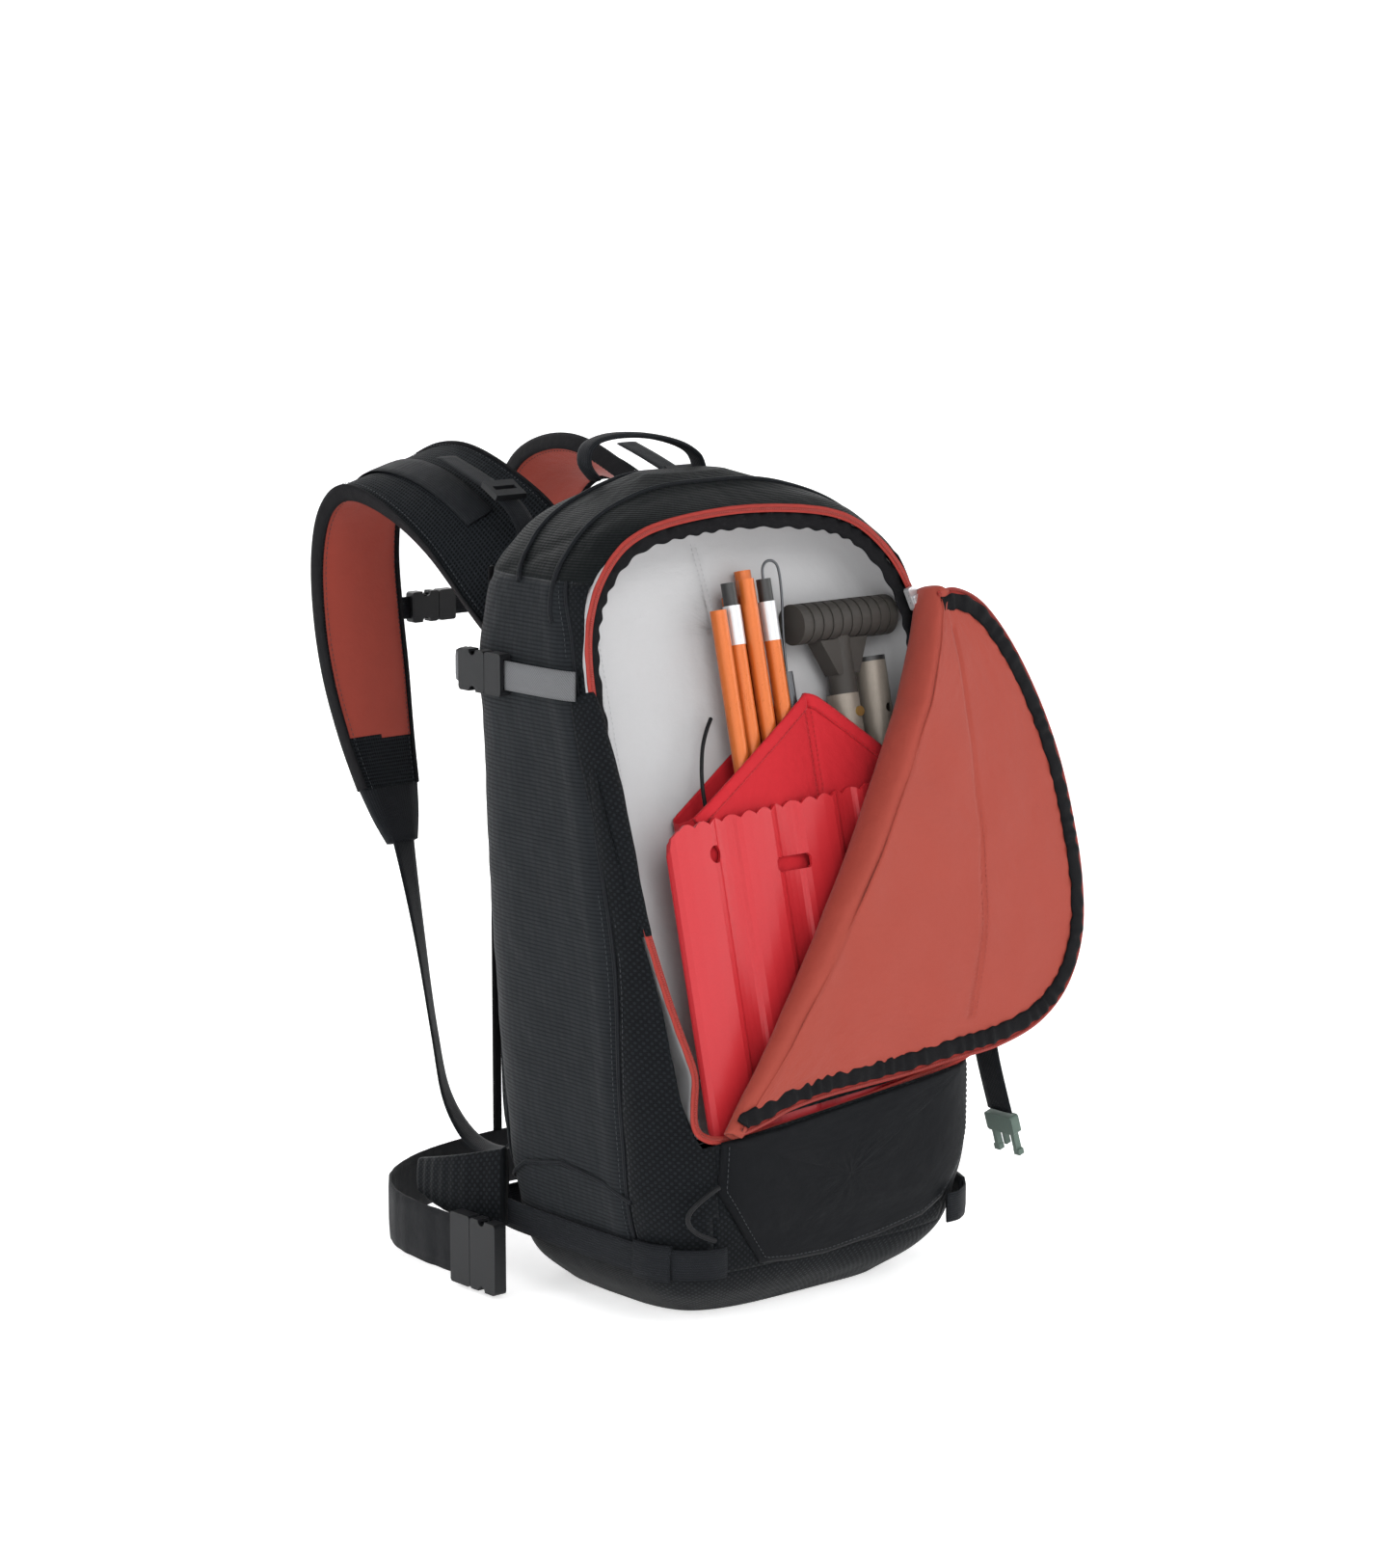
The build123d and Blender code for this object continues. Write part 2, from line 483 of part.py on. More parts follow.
cutb = extrude(Plane(origin=(-200, 0, 0), x_dir=(0, 1, 0), z_dir=(1, 0, 0)) * Face(Wire.make_polygon(
    [Vector(84, 20, 0), Vector(84, 34, 0), Vector(150, 44, 0), Vector(150, 20, 0)], close=True)), amount=120, dir=(1, 0, 0))
wing = wing - cutw - cutb
keep("hip_wings", pair(solid(wing - bs)))
HBX = -154.2
RING = [(HBX, 80), (HBX, 98), (-153.8, 122), (-147, 158), (-124, 193), (-84, 218), (-40, 229), (0, 232), (40, 229), (84, 218),
        (124, 193), (147, 158), (153.8, 122), (-HBX, 92), (-HBX, 66)]
keep("hip_belt_webbing", solid(ribbon(Plane(origin=(0, 0, 6)), RING, 2.2, 38)))
bp = Plane(origin=(HBX, 62, 25), x_dir=(0, 1, 0), z_dir=(-1, 0, 0))
fem, mal = buckle(bp, 46, 9, 26, 20, 38, 2.2, 13)
keep("hip_socket", solid(fem))
keep("hip_plug", solid(mal))

# ---------------------------------------------------------------------------
# Haul loop, lower side webbing, loops and the loose strap
# ---------------------------------------------------------------------------
loop = ribbon(Plane(origin=(0, 75, 0), x_dir=(1, 0, 0), z_dir=(0, -1, 0)),
              [(-44, 508.5), (-52, 518), (-50, 532), (-34, 540), (-6, 541), (22, 535), (38, 525), (43, 508.5)], 3.0, 13)
keep("haul_loop", solid(loop))

keep("base_webbing", pair(bs))
keep("back_zip", solid(block(-117.5, -111.0, 89.6, 91.2, 90, 455) - outer))
slid = block(-118.5, -110, 92.0, 96, 398, 412)
keep("back_zip_slider", fillet(slid.edges().filter_by(Axis.Y), 2))
tab = rblock(-117.25, -111.25, 96.5, 98.1, 378, 407.4, 2.4, "y")
keep("back_zip_pull", tab)

tx, tz = -10.0, 35.0
tn = math.hypot(tx, tz)
tang = Vector(tx / tn, SLOPE * tz / tn, tz / tn).normalized()
scn = Vector(133.0 - 3.4 * 0.96, 0, 425.5 - 3.4 * 0.27)
so = on_rim(scn.X, scn.Z, 2.4)
sp = Plane(origin=so, x_dir=tang, z_dir=n_rim)
sl = Pos(0, 0, 2.3) * Box(15, 8, 4.6)
keep("front_slider", sp * fillet(sl.edges().filter_by(Axis.Z), 2))
ft = Pos(-10.55, 0, 5.9) * Box(24.9, 5.5, 1.6)
keep("front_pull", sp * fillet(ft.edges().filter_by(Axis.Z), 2))
print("front slider at", [round(c, 3) for c in (so.X, so.Y, so.Z)], "tangent", [round(c, 5) for c in (tang.X, tang.Y, tang.Z)],
      "normal", [round(c, 5) for c in (n_rim.X, n_rim.Y, n_rim.Z)])
fh = sp.origin + tang * 1.0 + n_rim * 5.9
hx = sp.y_dir
print("front pull hinge", [round(c, 3) for c in (fh.X, fh.Y, fh.Z)], "axis", [round(c, 5) for c in (hx.X, hx.Y, hx.Z)])

# loose strap with a plug half, low on the right side
hs = ribbon(Plane(origin=(0, -66, 0), x_dir=(1, 0, 0), z_dir=(0, -1, 0)), [(148.5, 184), (151, 160), (158, 128), (170, 90)], 1.6, 22)
keep("hanging_strap", solid(hs))
dn = Vector(12, 0, -38).normalized()
hp = Plane(origin=(170.4, -77, 88.8), x_dir=dn, z_dir=dn.cross(Vector(0, 1, 0)))
hb = Pos(7, 0, 0) * Box(13, 25, 7)
hb = fillet(hb.edges().filter_by(Axis.Z), 2)
for s in (1, -1):
    hb = hb + Pos(21, s * 8.6, 0) * Box(16, 3.2, 4.4)
    hb = hb + Pos(27, s * 9.2, 0) * Box(4, 5.0, 4.4)
hb = hb + Pos(18, 0, 0) * Box(10, 2.4, 4)
keep("hanging_plug", solid(hp * hb))


# ---------------------------------------------------------------------------
# Cords: straight runs joined by tangent arcs
# ---------------------------------------------------------------------------
def cord(name, pts, dia):
    radii = []
    for a, b, c in zip(pts, pts[1:], pts[2:]):
        u, v = Vector(*b) - Vector(*a), Vector(*c) - Vector(*b)
        half = math.radians(u.get_angle(v)) / 2
        radii.append(round(0.45 * min(u.length, v.length) / math.tan(half), 2))
    line = FilletPolyline(*[Vector(*p) for p in pts], radius=radii)
    w = line.wire() if hasattr(line, "wire") else Wire(line.edges())
    start = Plane(origin=w @ 0, z_dir=w % 0)
    tube = sweep(start * Circle(dia / 2), path=w)
    ideal = math.pi * dia * dia / 4 * w.length
    print(name, "radii", radii, "length", round(w.length, 1), "volume", round(tube.volume, 1), "ideal", round(ideal, 1))
    keep(name, tube)


BUNGEE = [(-99, -111, 94), (-113, -109.5, 88), (-122, -105.5, 77), (-115, -108.5, 66), (-102, -111, 61)]
SLEEVE_CORD = [on_rim(-24, 368, -29), on_rim(-36, 358, -24), on_rim(-45, 340, -20), on_rim(-48, 320, -19), on_rim(-45, 300, -20)]
CABLE = [on_rim(26.5, 448.3, -18.2), on_rim(26.5, 454.4, -18.2), on_rim(30.9, 458.9, -18.3), on_rim(37.1, 458.9, -18.5),
         on_rim(41.5, 454.4, -18.8), on_rim(41.2, 434, -20), on_rim(38, 412, -21), on_rim(36.6, 390.2, -21)]
cord("bungee_loop", BUNGEE, 3.0)
cord("sleeve_cord", [tuple(p) for p in SLEEVE_CORD], 2.6)
cord("probe_cable", [tuple(p) for p in CABLE], 1.8)
for nm, pp in (("sleeve", SLEEVE_CORD), ("cable", CABLE)):
    print(nm, [tuple(round(c, 2) for c in p) for p in pp])
print("total nodes", len(NODES))
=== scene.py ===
"""Ski touring backpack with its front tool pocket folded open."""
import logging
import math
from dataclasses import dataclass, field
from enum import Enum
from typing import Callable, Optional, Sequence, Union

import bmesh
import bpy
import numpy as np
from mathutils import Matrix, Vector, noise


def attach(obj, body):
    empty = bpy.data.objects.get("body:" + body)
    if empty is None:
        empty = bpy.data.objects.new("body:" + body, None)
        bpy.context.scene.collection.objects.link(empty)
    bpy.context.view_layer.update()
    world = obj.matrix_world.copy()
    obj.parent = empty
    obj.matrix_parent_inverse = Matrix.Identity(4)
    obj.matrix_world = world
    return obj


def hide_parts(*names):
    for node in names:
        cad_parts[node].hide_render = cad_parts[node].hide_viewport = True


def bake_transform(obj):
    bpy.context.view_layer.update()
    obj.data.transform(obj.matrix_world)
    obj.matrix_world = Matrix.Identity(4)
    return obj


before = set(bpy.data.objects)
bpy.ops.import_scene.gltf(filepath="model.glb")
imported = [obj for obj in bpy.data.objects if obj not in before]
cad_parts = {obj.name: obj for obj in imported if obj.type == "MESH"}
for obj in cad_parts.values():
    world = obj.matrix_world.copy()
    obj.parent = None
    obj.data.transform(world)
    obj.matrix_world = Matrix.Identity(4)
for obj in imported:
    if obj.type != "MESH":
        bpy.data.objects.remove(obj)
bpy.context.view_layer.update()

LOG = logging.getLogger("ski_backpack")
MM = 0.001
BAG_CENTRE = 0.25
Array = np.ndarray
Colour = tuple[float, float, float]

# The opening plane leans back; these repeat the part's own numbers, in millimetres.
SLOPE = 0.242
RIM_Z, RIM_Y = 492.0, -12.0
LEAN = math.sqrt(1 + SLOPE * SLOPE)
OUTWARD = np.array([0.0, -1 / LEAN, SLOPE / LEAN])
UPHILL = np.array([0.0, SLOPE / LEAN, 1 / LEAN])
RIM = [(-92, 118), (-106, 165), (-118, 212), (-130, 278), (-138, 348), (-138, 408), (-128, 443),
       (-108, 468), (-84, 482), (-50, 489), (0, 492), (50, 489), (84, 482), (108, 468), (128, 443),
       (138, 408), (138, 348), (133, 278), (126, 212), (120, 165), (112, 136)]


def on_rim(x: float, z: float, h: float = 0.0) -> Array:
    """Point of the opening plane at (x, z), lifted h out of it."""
    return np.array([x, RIM_Y - SLOPE * (RIM_Z - z), z]) + OUTWARD * h


def lifted(points: Sequence[Sequence[float]], h: float = 0.0) -> Array:
    """Points of the opening plane at (x, z) points, lifted h out of it."""
    return np.array([on_rim(x, z, h) for x, z in points])


def through(points: Sequence[Sequence[float]], per: int = 8, closed: bool = False) -> Array:
    """Smooth line through control points.

    Args:
        points: Control points, any dimension.
        per: Samples for each span.
        closed: True for a ring.

    Returns:
        The sampled line, one row for each point.
    """
    p = np.asarray(points, float)
    n = len(p)
    out = []
    for i in range(n if closed else n - 1):
        if closed:
            a, b, c, d = p[(i - 1) % n], p[i], p[(i + 1) % n], p[(i + 2) % n]
        else:
            a, b, c, d = p[max(i - 1, 0)], p[i], p[i + 1], p[min(i + 2, n - 1)]
        for s in range(per):
            t = s / per
            out.append(0.5 * (2 * b + (c - a) * t + (2 * a - 5 * b + 4 * c - d) * t * t
                              + (3 * b - a - 3 * c + d) * t ** 3))
    if not closed:
        out.append(p[-1])
    return np.array(out)


def even(line: Array, count: int, closed: bool = False) -> Array:
    """The line resampled to count points at equal spacing."""
    p = np.vstack([line, line[:1]]) if closed else line
    run = np.concatenate([[0], np.cumsum(np.linalg.norm(np.diff(p, axis=0), axis=1))])
    at = np.linspace(0, run[-1], count + 1)[:-1] if closed else np.linspace(0, run[-1], count)
    return np.stack([np.interp(at, run, p[:, k]) for k in range(p.shape[1])], axis=1)


def unit(v: Array) -> Array:
    """Rows of v at length 1."""
    return v / np.maximum(np.linalg.norm(v, axis=-1, keepdims=True), 1e-12)


def tangents(line: Array, closed: bool = False) -> Array:
    """Unit directions along a line."""
    if closed:
        return unit(np.roll(line, -1, axis=0) - np.roll(line, 1, axis=0))
    return unit(np.gradient(line, axis=0))


def wobble(p: Sequence[float], scale: float, seed: float = 0.0) -> float:
    """Seeded smooth noise from -1 to 1 at a place in millimetres."""
    return noise.noise(Vector((p[0] / scale + seed, p[1] / scale - seed, p[2] / scale + 2 * seed)))


# ---------------------------------------------------------------------------
# Finishes
# ---------------------------------------------------------------------------
class Sock:
    """One value in a shader tree, with arithmetic that adds Math nodes."""

    def __init__(self, tree: "Shader", socket: bpy.types.NodeSocket) -> None:
        """Wraps an output socket of a tree."""
        self.tree, self.socket = tree, socket

    def _math(self, op: str, *values: Union["Sock", float]) -> "Sock":
        """A Math node on values.

        Args:
            op: The node's operation.
            values: Its inputs, in order.

        Returns:
            The node's result.
        """
        return self.tree.node("ShaderNodeMath", {"operation": op}, {i: v for i, v in enumerate(values)})

    def __add__(self, o: Union["Sock", float]) -> "Sock":
        """self + o."""
        return self._math("ADD", self, o)

    __radd__ = __add__

    def __sub__(self, o: Union["Sock", float]) -> "Sock":
        """self - o."""
        return self._math("SUBTRACT", self, o)

    def __rsub__(self, o: float) -> "Sock":
        """o - self."""
        return self._math("SUBTRACT", o, self)

    def __mul__(self, o: Union["Sock", float]) -> "Sock":
        """self * o."""
        return self._math("MULTIPLY", self, o)

    __rmul__ = __mul__

    def sin(self) -> "Sock":
        """Sine, in radians."""
        return self._math("SINE", self)

    def abs(self) -> "Sock":
        """Absolute value."""
        return self._math("ABSOLUTE", self)

    def ramp(self, lo: float, hi: float) -> "Sock":
        """Smooth step from 0 at lo to 1 at hi."""
        return self.tree.node("ShaderNodeMapRange", {"interpolation_type": "SMOOTHSTEP", "clamp": True},
                              {"Value": self, "From Min": lo, "From Max": hi, "To Min": 0.0, "To Max": 1.0})


class Shader:
    """Builds the node tree of one material."""

    def __init__(self, name: str) -> None:
        """Starts a material with its output and a Principled shader."""
        self.material = bpy.data.materials.new(name)
        self.material.use_nodes = True
        self.nodes, self.links = self.material.node_tree.nodes, self.material.node_tree.links
        self.nodes.clear()
        self.out = self.nodes.new("ShaderNodeOutputMaterial")
        self.skin = self.nodes.new("ShaderNodeBsdfPrincipled")
        self.links.new(self.skin.outputs[0], self.out.inputs[0])

    def node(self, kind: str, settings: Optional[dict] = None, values: Optional[dict] = None,
             take: Union[int, str] = 0) -> Sock:
        """Adds a node.

        Args:
            kind: The node's type.
            settings: Its properties, set before its inputs.
            values: Constants or links for its inputs, by name or number.
            take: The output to return.

        Returns:
            That output.
        """
        n = self.nodes.new(kind)
        for k, v in (settings or {}).items():
            setattr(n, k, v)
        for k, v in (values or {}).items():
            self.feed(n.inputs[k], v)
        return Sock(self, n.outputs[take])

    def feed(self, socket: bpy.types.NodeSocket, value: object) -> None:
        """Links a Sock to an input, or sets a constant."""
        if isinstance(value, Sock):
            self.links.new(value.socket, socket)
        else:
            socket.default_value = value

    def constants(self, values: dict) -> None:
        """Sets inputs of the Principled shader, by name."""
        for name, value in values.items():
            self.skin.inputs[name].default_value = value

    def mix(self, share: Union[Sock, float], a: object, b: object) -> Sock:
        """Colour between a and b."""
        return self.node("ShaderNodeMix", {"data_type": "RGBA"}, {0: share, 6: a, 7: b}, 2)

    def place(self, on_uv: bool) -> tuple[Sock, Sock, Sock]:
        """Coordinates in millimetres.

        Args:
            on_uv: True to follow the piece's own UV map.

        Returns:
            The vector, and its first two parts.
        """
        src = (self.node("ShaderNodeUVMap", {"uv_map": "cloth"}) if on_uv
               else self.node("ShaderNodeTexCoord", take="Object"))
        v = self.node("ShaderNodeVectorMath", {"operation": "SCALE"}, {0: src, "Scale": 1000.0})
        sep = self.nodes.new("ShaderNodeSeparateXYZ")
        self.links.new(v.socket, sep.inputs[0])
        return v, Sock(self, sep.outputs[0]), Sock(self, sep.outputs[1])


class Weave(Enum):
    """Surface structure of a finish."""

    PLAIN = "plain"
    RIBS = "ribs"
    DOTS = "dots"
    TAPE = "tape"
    DIAGONAL = "diagonal"
    MESH = "mesh"
    MOULDED = "moulded"
    BRUSHED = "brushed"

    @property
    def hard(self) -> bool:
        """True for plastic and metal, False for cloth."""
        return self in (Weave.MOULDED, Weave.BRUSHED)


def linear(rgb: Colour) -> tuple[float, float, float, float]:
    """sRGB 0..255 as a linear colour."""
    def one(c: float) -> float:
        """One channel."""
        c /= 255
        return c / 12.92 if c <= 0.04045 else ((c + 0.055) / 1.055) ** 2.4
    return (*[one(c) for c in rgb], 1.0)


# How strongly a surface mirrors the room, and how high its slow bumps are in metres.
HARD_SHINE, CLOTH_SHINE = 0.22, 0.06
HARD_PUFF, CLOTH_PUFF = 0.00002, 0.00222


@dataclass(frozen=True)
class Finish:
    """One finish: its colours, weave and shine."""

    name: str
    rgb: Colour
    weave: Weave = Weave.PLAIN
    pitch: float = 0.8
    depth: float = 0.12
    contrast: float = 0.25
    rough: float = 0.7
    metal: float = 0.0
    sheen: float = 0.0
    coat: float = 0.0
    on_uv: bool = True

    def relief(self, s: Shader) -> tuple[Sock, Sock]:
        """The weave's height and the piece's coordinates.

        Args:
            s: The tree to build in.

        Returns:
            Height from 0 to 1, and the coordinate vector.
        """
        vec, u, v = s.place(self.on_uv)
        k = math.pi / self.pitch
        if self.weave is Weave.RIBS:
            h = (v * k).sin().abs() * ((u * (k * 0.5)).sin().abs() * 0.25 + 0.75)
        elif self.weave is Weave.DOTS:
            h = ((u * k).sin() * (v * k).sin()).ramp(0.15, 0.6) * 0.8 + (v * (k * 2)).sin().abs() * 0.2
        elif self.weave is Weave.TAPE:
            h = (u * k).sin().abs() * 0.6 + ((v + u * 0.6) * (k * 1.3)).sin().abs() * 0.4
        elif self.weave is Weave.DIAGONAL:
            h = ((u + v) * k).sin().abs() * 0.7 + ((u - v) * (k * 2)).sin().abs() * 0.3
        elif self.weave is Weave.MESH:
            h = 1.0 - ((u * k).sin() * (v * k).sin()).abs().ramp(0.25, 0.75)
        elif self.weave.hard:
            stretch = s.node("ShaderNodeMapping", values={
                0: vec, "Scale": (1.0, 1.0, 0.06 if self.weave is Weave.BRUSHED else 1.0)})
            h = s.node("ShaderNodeTexNoise", values={"Vector": stretch, "Scale": 1 / self.pitch, "Detail": 2.0})
        else:
            h = (u * k).sin().abs() * 0.5 + (v * k).sin().abs() * 0.5
        return h, vec

    def material(self) -> bpy.types.Material:
        """The material, made once and then shared."""
        found = bpy.data.materials.get(self.name)
        if found:
            return found
        s = Shader(self.name)
        h, vec = self.relief(s)
        cloud = s.node("ShaderNodeTexNoise", values={"Vector": vec, "Scale": 0.02, "Detail": 3.0})
        fleck = s.node("ShaderNodeTexNoise", values={"Vector": vec, "Scale": 1.1, "Detail": 1.0})
        base = linear(self.rgb)
        dark = tuple(c * (1 - self.contrast) for c in base[:3]) + (1.0,)
        light = tuple(min(1.0, c * (1 + self.contrast * 0.5) + 0.002) for c in base[:3]) + (1.0,)
        tone = h * 0.6 + cloud * 0.3 + fleck * 0.25
        s.feed(s.skin.inputs["Base Color"], s.mix(tone.ramp(0.15, 0.9), dark, light))
        s.feed(s.skin.inputs["Roughness"], (1.0 - h) * 0.12 + cloud * 0.1 + (self.rough - 0.11))
        s.constants({"Metallic": self.metal, "Sheen Weight": self.sheen, "Sheen Roughness": 0.45,
                     "Coat Weight": self.coat, "Coat Roughness": 0.25,
                     "Specular IOR Level": HARD_SHINE if self.weave.hard else CLOTH_SHINE})
        fine = s.node("ShaderNodeBump", values={"Height": h, "Distance": self.depth * MM, "Strength": 0.9})
        puff = s.node("ShaderNodeTexNoise", values={"Vector": vec, "Scale": 0.06, "Detail": 3.0})
        high = HARD_PUFF if self.weave.hard else CLOTH_PUFF
        bump = s.node("ShaderNodeBump", values={"Height": puff, "Distance": high, "Strength": 0.5, "Normal": fine})
        s.feed(s.skin.inputs["Normal"], bump)
        return s.material


SIDE_RIBS = Finish("side_ribbed_ripstop", (25, 28, 31), Weave.RIBS, 2.6, 0.25, 0.45, 0.62, sheen=0.03)
SIDE_DOTS = Finish("side_dotted_ripstop", (18, 21, 24), Weave.DOTS, 2.2, 0.16, 0.5, 0.6, sheen=0.02)
TOP_RIBS = Finish("top_ribbed_cloth", (12, 16, 17), Weave.RIBS, 2.0, 0.3, 0.5, 0.62, sheen=0.03)
PLAIN_BLACK = Finish("smooth_front_cloth", (11, 13, 16), Weave.PLAIN, 0.5, 0.05, 0.18, 0.5, sheen=0.02)
BASE_CLOTH = Finish("base_cloth", (14, 16, 18), Weave.RIBS, 1.6, 0.2, 0.4, 0.62, sheen=0.02)
GREY_LINING = Finish("grey_lining_cloth", (181, 181, 182), Weave.PLAIN, 0.45, 0.05, 0.08, 0.62)
CORAL = Finish("coral_lining_cloth", (148, 65, 54), Weave.PLAIN, 0.45, 0.05, 0.12, 0.52, sheen=0.08)
CORAL_TAPE = Finish("coral_zip_tape", (150, 56, 50), Weave.TAPE, 0.9, 0.2, 0.3, 0.6)
CORAL_TEETH = Finish("coral_zip_coil", (150, 62, 56), Weave.MOULDED, 0.6, 0.02, 0.15, 0.45)
BINDING = Finish("gathered_binding", (18, 18, 20), Weave.TAPE, 0.8, 0.15, 0.4, 0.7)
SLEEVE = Finish("red_sleeve_cloth", (180, 35, 43), Weave.PLAIN, 0.5, 0.06, 0.14, 0.5, sheen=0.08)
WEB_BLACK = Finish("black_webbing", (24, 26, 29), Weave.TAPE, 1.5, 0.35, 0.5, 0.6)
WEB_GREY = Finish("grey_webbing", (98, 99, 101), Weave.DIAGONAL, 1.9, 0.3, 0.45, 0.6)
BELT = Finish("smooth_belt_webbing", (26, 27, 29), Weave.TAPE, 0.8, 0.1, 0.25, 0.6)
MESH_FOAM = Finish("strap_mesh", (22, 25, 28), Weave.MESH, 2.4, 0.6, 0.65, 0.75)
BUCKLE = Finish("black_buckle", (22, 23, 25), Weave.MOULDED, 0.35, 0.02, 0.2, 0.42, on_uv=False)
BUCKLE_GREEN = Finish("grey_green_buckle", (84, 100, 92), Weave.MOULDED, 0.35, 0.02, 0.15, 0.45, on_uv=False)
BLADE_RED = Finish("red_blade", (184, 38, 45), Weave.MOULDED, 1.2, 0.012, 0.06, 0.4, coat=0.25, on_uv=False)
TUBE_BRONZE = Finish("bronze_tube", (138, 130, 120), Weave.BRUSHED, 0.8, 0.01, 0.15, 0.4, metal=0.3, on_uv=False)
GRIP = Finish("grip_plastic", (62, 58, 52), Weave.MOULDED, 0.4, 0.03, 0.2, 0.6, on_uv=False)
BRASS = Finish("brass_button", (188, 160, 96), Weave.BRUSHED, 0.6, 0.01, 0.1, 0.35, metal=0.9, on_uv=False)
ORANGE = Finish("orange_probe", (198, 102, 42), Weave.BRUSHED, 0.7, 0.008, 0.1, 0.3, metal=0.25, coat=0.4, on_uv=False)
SILVER = Finish("silver_ferrule", (205, 206, 208), Weave.BRUSHED, 0.6, 0.01, 0.12, 0.3, metal=0.6, on_uv=False)
BLACK_PLASTIC = Finish("black_plastic", (34, 34, 36), Weave.MOULDED, 0.35, 0.02, 0.2, 0.45, on_uv=False)
CABLE = Finish("steel_cable_sleeve", (92, 94, 97), Weave.MOULDED, 0.3, 0.02, 0.2, 0.4, metal=0.7, on_uv=False)
CORD = Finish("black_cord", (20, 21, 23), Weave.MOULDED, 0.7, 0.2, 0.5, 0.7, on_uv=False)
THREAD_BLACK = Finish("black_thread", (52, 55, 58), Weave.MOULDED, 0.3, 0.02, 0.2, 0.6, on_uv=False)
THREAD_CORAL = Finish("coral_thread", (150, 66, 56), Weave.MOULDED, 0.3, 0.02, 0.2, 0.6, on_uv=False)
THREAD_RED = Finish("red_thread", (165, 34, 38), Weave.MOULDED, 0.3, 0.02, 0.2, 0.6, on_uv=False)
THREAD_GREY = Finish("grey_thread", (168, 168, 170), Weave.MOULDED, 0.3, 0.02, 0.2, 0.6, on_uv=False)


# ---------------------------------------------------------------------------
# Mesh building
# ---------------------------------------------------------------------------
def linked(name: str, data: bpy.types.ID) -> bpy.types.Object:
    """A new object for the data, linked to the scene."""
    obj = bpy.data.objects.new(name, data)
    bpy.context.scene.collection.objects.link(obj)
    return obj


def face_out(mesh: bpy.types.Mesh) -> None:
    """Turns the faces of a mesh outwards."""
    b = bmesh.new()
    b.from_mesh(mesh)
    bmesh.ops.recalc_face_normals(b, faces=b.faces)
    b.to_mesh(mesh)
    b.free()


@dataclass
class Cloth:
    """A grid of points in millimetres, turned into one mesh.

    ring joins the last row to the first, loop the last column to the first. caps closes both end rows
    with a face, and hub only the last.
    """

    rows: Array
    ring: bool = False
    loop: bool = False
    caps: bool = False
    hub: bool = False

    def shape(self, name: str, finishes: Sequence[Finish], pick: Optional[Callable[[Array], int]] = None,
              away: Optional[Sequence[float]] = None, thick: float = 0.0) -> bpy.types.Object:
        """Makes the object.

        Args:
            name: The piece's name.
            finishes: Its finishes, in slot order.
            pick: Gives a face's slot from its centre in millimetres.
            away: A direction that the faces point along, for an open sheet.
            thick: Wall thickness, grown behind the faces.

        Returns:
            The object, with its place in its mesh.
        """
        p = self.rows
        m, n = p.shape[:2]
        across = np.mean(np.linalg.norm(np.diff(p, axis=1), axis=2), axis=0)
        across = np.append(across, np.mean(np.linalg.norm(p[:, 0] - p[:, -1], axis=1)))
        along = np.mean(np.linalg.norm(np.diff(p, axis=0), axis=2), axis=1)
        along = np.append(along, np.mean(np.linalg.norm(p[0] - p[-1], axis=1)))
        u = np.concatenate([[0], np.cumsum(across)]) * MM
        v = np.concatenate([[0], np.cumsum(along)]) * MM
        faces, uvs = [], []
        for i in range(m if self.ring else m - 1):
            k = (i + 1) % m
            for j in range(n if self.loop else n - 1):
                q = (j + 1) % n
                faces.append((i * n + j, i * n + q, k * n + q, k * n + j))
                uvs += [(u[j], v[i]), (u[j + 1], v[i]), (u[j + 1], v[i + 1]), (u[j], v[i + 1])]
        ends = [(0, range(n - 1, -1, -1))] if self.caps else []
        ends += [(m - 1, range(n))] if self.caps or self.hub else []
        for i, order in ends:
            faces.append(tuple(i * n + j for j in order))
            uvs += [(u[j], v[i]) for j in order]
        mesh = bpy.data.meshes.new(name)
        mesh.from_pydata((p.reshape(-1, 3) * MM).tolist(), [], faces)
        layer = mesh.uv_layers.new(name="cloth")
        layer.data.foreach_set("uv", np.array(uvs, np.float32).ravel())
        return dress(mesh, name, finishes, pick, away, thick, closed=self.loop and (self.caps or self.ring))


def dress(mesh: bpy.types.Mesh, name: str, finishes: Sequence[Finish],
          pick: Optional[Callable[[Array], int]] = None, away: Optional[Sequence[float]] = None,
          thick: float = 0.0, closed: bool = False) -> bpy.types.Object:
    """Links a mesh as a piece with its finishes and modifiers.

    Args:
        mesh: The mesh, in metres.
        name: The piece's name.
        finishes: Its finishes.
        pick: Gives a face's slot from its centre in millimetres.
        away: Direction that an open sheet faces.
        thick: Wall thickness in millimetres.
        closed: True where the mesh encloses a volume.

    Returns:
        The object.
    """
    for f in finishes:
        mesh.materials.append(f.material())
    if closed:
        face_out(mesh)
    elif away is not None:
        normals = np.array([f.normal * f.area for f in mesh.polygons])
        if normals.sum(axis=0) @ np.array(away, float) < 0:
            mesh.flip_normals()
    if pick is not None:
        for f in mesh.polygons:
            f.material_index = pick(np.array(f.center) * 1000)
    mesh.shade_smooth()
    obj = linked(name, mesh)
    if thick:
        s = obj.modifiers.new("wall", "SOLIDIFY")
        s.thickness, s.offset = thick * MM, -1.0
    return obj


